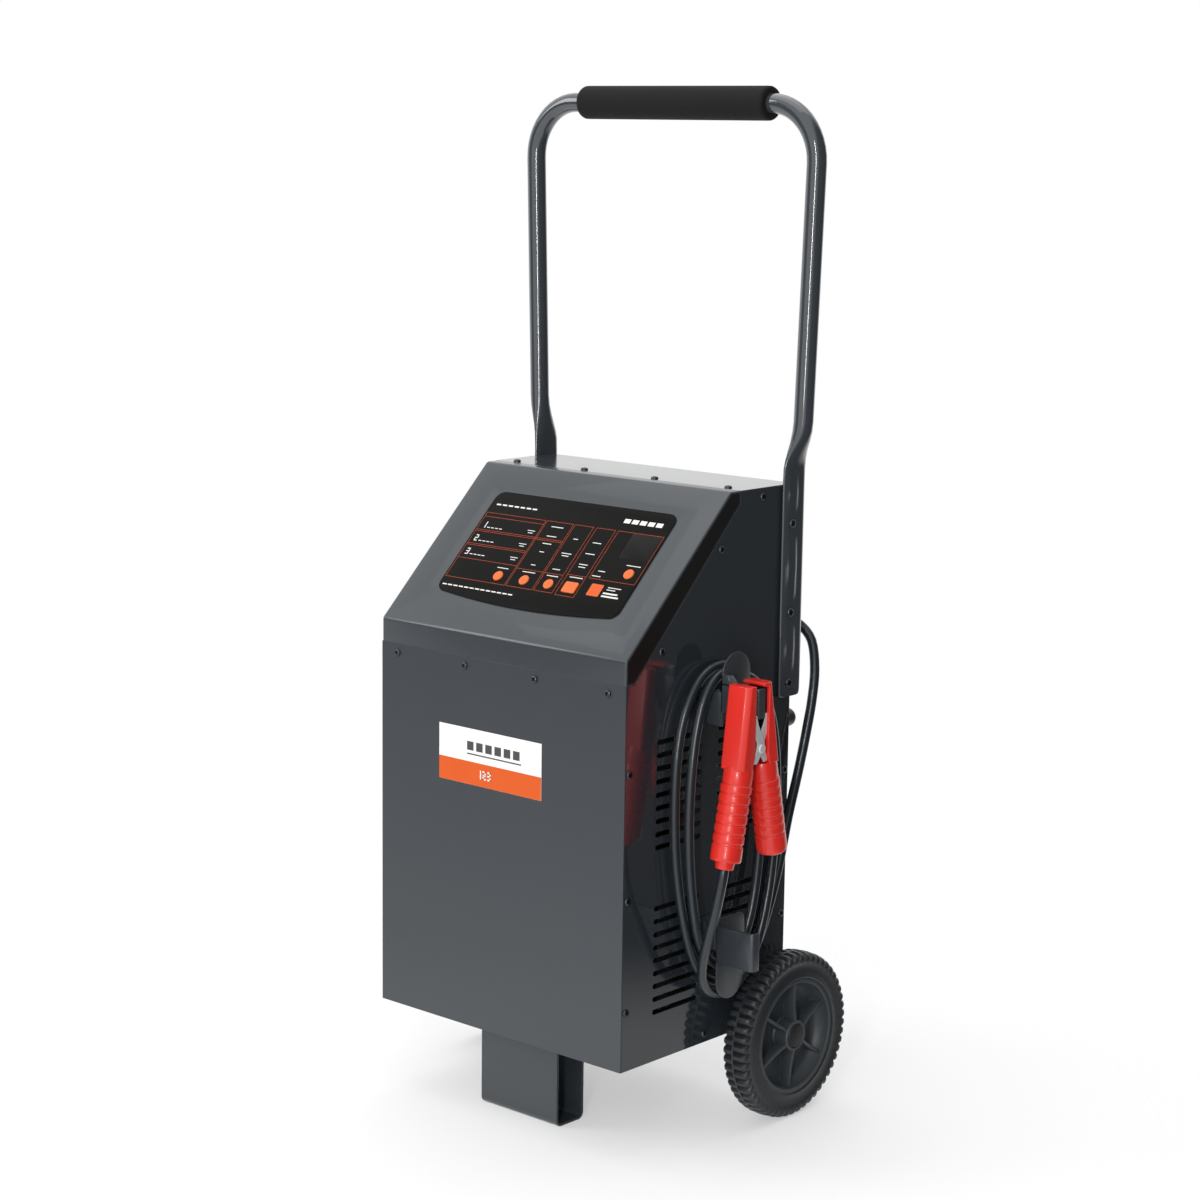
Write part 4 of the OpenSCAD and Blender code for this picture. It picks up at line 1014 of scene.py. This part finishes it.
def make_hook(name, inner_z, outer_z, rise, tab):
    """Arms and lip are bent strip, the tab is a plate between them; rise is the arm's height at the tab."""
    y = HOOK_Y
    foot = fillet([(HALF_W, y), (TAB_X + 1, y), (TAB_X + 1, y + 3), (HALF_W + 2, y + 3), (HALF_W + 2, y + 42),
                   (HALF_W, y + 42)], [3.5, 0, 0, 1.5, 0, 0], 4)
    lip = fillet([(TAB_X, y), (240, y), (240, y + 11), (237, y + 11), (237, y + 3), (TAB_X, y + 3)],
                 [0, 4, 1.2, 1.2, 1.2, 0], 5)
    parts = [prism("foot", [(x, q, inner_z[0]) for x, q in foot], (0, 0, inner_z[1] - inner_z[0])),
             prism("lip", [(x, q, outer_z[0]) for x, q in lip], (0, 0, outer_z[1] - outer_z[0]))]
    if rise > outer_z[1]:
        web = [(TAB_X, outer_z[1] - 2), (TAB_X + 20, outer_z[1] - 2), (TAB_X + 20, outer_z[1]), (TAB_X + 12, rise),
               (TAB_X, rise)]
        parts.append(prism("web", [(x, y, z) for x, z in web], (0, 3, 0)))
    parts.append(prism("tab", [(TAB_X, q, z) for q, z in tab], (2, 0, 0)))
    return joined(name, [soften(p, 0.5, 2, 40) for p in parts])


upper_tab = [(HOOK_Y, 431), (HOOK_Y + 42, 431)] + arc(HOOK_Y + 21, 474, 21, 0, 180, 20)
lower_tab = ([(HOOK_Y + 42, 168), (HOOK_Y + 42, 224)] + arc(HOOK_Y + 34, 224, 8, 0, 90)
             + arc(HOOK_Y + 8, 224, 8, 90, 180) + [(HOOK_Y, 168)] + arc(HOOK_Y + 21, 168, 21, 180, 360, 20)[1:-1])
done(make_hook("upper_hook_strip", (424, 458), (438, 467), 476, upper_tab), case_paint, "cabinet",
     ["upper_cable_hook"])
done(make_hook("lower_hook_strip", (200, 225), (187, 225), 225, lower_tab), case_paint, "cabinet",
     ["lower_cable_hook"])

# ---- glands ---------------------------------------------------------------


def gland(name, x, z, nut_r, dome, bore):
    """A six-sided nut against the back panel and a domed cap, bored through."""
    nut = soften(lathe("nut", [(0, 0), (nut_r, 0), (nut_r, 6), (0, 6)], (x, BACK_Y, z), (0, 1, 0), 6), 0.7, 2)
    cap = lathe("cap", dome, (x, BACK_Y, z), (0, 1, 0), 40)
    parts = [nut, cap]
    if bore:
        parts = [cut(p, lathe("hole", [(0, -12), (bore, -12), (bore, 45), (0, 45)], (x, BACK_Y, z), (0, 1, 0), 32))
                 for p in parts]
    return joined(name, parts)


lead_dome = [(0, -6), (7.9, -6), (7.9, 0), (11.6, 0.1), (11.6, 6), (12, 6.4), (12, 8), (11.2, 10), (9.4, 14),
             (7.6, 18), (7, 20), (5.2, 20), (5.2, 19.4), (0, 19.4)]
mains_dome = [(0, -8), (7, -8), (7, 0), (10, 0.1), (10, 8), (10.4, 9), (9.9, 12), (9.5, 14), (9.5, 25), (9, 28),
              (7.6, 30.2), (5.6, 31), (0, 31)]
done(gland("positive_gland_nut", 140, 499, 13, lead_dome, 0), nylon, "cabinet",
     ["positive_gland"])
done(gland("negative_gland_nut", 104, 499, 13, lead_dome, 5), nylon, "cabinet",
     ["negative_gland"])
done(gland("mains_gland_nut", 143, 399, 11, mains_dome, 4), nylon, "cabinet", ["mains_gland"])

# ---- light and ground -----------------------------------------------------


def area_light(name, at, aim, size, power, size_y):
    data = bpy.data.lights.new(name, "AREA")
    data.energy = power
    data.shape = "RECTANGLE"
    data.size = size
    data.size_y = size_y
    ob = bpy.data.objects.new(name, data)
    ob.location = at
    ob.rotation_mode = "QUATERNION"
    ob.rotation_quaternion = (Vector(aim) - Vector(at)).to_track_quat("-Z", "Y")
    bpy.context.scene.collection.objects.link(ob)


# Each flag: direction, where its edge starts and ends as a cosine, and how dark it is
FLAGS = (((0.9, 0.35, 0.0), 0.40, 0.66, 0.07), ((-0.66, -0.72, 0.1), 0.895, 0.945, 0.08))


def set_world():
    """White all round, with dark flags where the side panel and the top of the front panel look."""
    world = bpy.data.worlds.new("white_studio")
    bpy.context.scene.world = world
    world.use_nodes = True
    tree = world.node_tree
    tc = coords(world)
    levels = []
    for direction, near, far, dark in FLAGS:
        dot = put(world, "ShaderNodeVectorMath", {"operation": "DOT_PRODUCT"}, i0=(tc, "Generated"), i1=direction)
        levels.append(put(world, "ShaderNodeMapRange", Value=(dot, "Value"), From__Min=near, From__Max=far,
                          To__Min=1.0, To__Max=dark))
    both = put(world, "ShaderNodeMath", {"operation": "MULTIPLY"}, i0=(levels[0], "Result"),
               i1=(levels[1], "Result"))
    # What is seen directly stays the plain white backdrop; the flags only show in reflections and shade
    direct = put(world, "ShaderNodeLightPath")
    seen = put(world, "ShaderNodeMath", {"operation": "MAXIMUM"}, i0=(both, "Value"), i1=(direct, "Is Camera Ray"))
    backdrop = tree.nodes["Background"]
    backdrop.inputs["Color"].default_value = (1, 1, 1, 1)
    tree.links.new(seen.outputs["Value"], backdrop.inputs["Strength"])


set_world()
bpy.context.scene.view_settings.view_transform = "Standard"
area_light("key_left", (-2.6, -2.2, 2.2), (0, 0, 0.45), 1.4, 32, 1.8)
area_light("top_soft", (-0.4, 0.2, 2.8), (0, 0.1, 0.3), 2.2, 13, 2.2)
area_light("strip_soft", (1.55, -2.25, 1.15), (0, 0.1, 0.7), 0.1, 26, 1.7)


def floor_material():
    """White floor that fades into the white all round before its own edge."""
    m = new_material("white_studio_floor")
    tc = coords(m)
    apart = put(m, "ShaderNodeVectorMath", {"operation": "LENGTH"}, i0=(tc, "Object"))
    fade = put(m, "ShaderNodeMapRange", {"interpolation_type": "SMOOTHSTEP"}, Value=(apart, "Value"),
               From__Min=0.35, From__Max=0.8, To__Min=0.42)
    white = put(m, "ShaderNodeBsdfDiffuse", Color=lin("ffffff"))
    clear = put(m, "ShaderNodeBsdfTransparent")
    mix = put(m, "ShaderNodeMixShader", i0=(fade, "Result"), i1=(white, "BSDF"), i2=(clear, "BSDF"))
    return finish_mat(m, mix)


def add_floor():
    bpy.ops.object.select_all(action="DESELECT")
    bpy.ops.mesh.primitive_circle_add(vertices=96, radius=0.85, location=(0.02, 0.05, 0), fill_type="NGON")
    floor = bpy.context.object
    floor.name = "ground"
    floor.data.materials.append(floor_material())


add_floor()
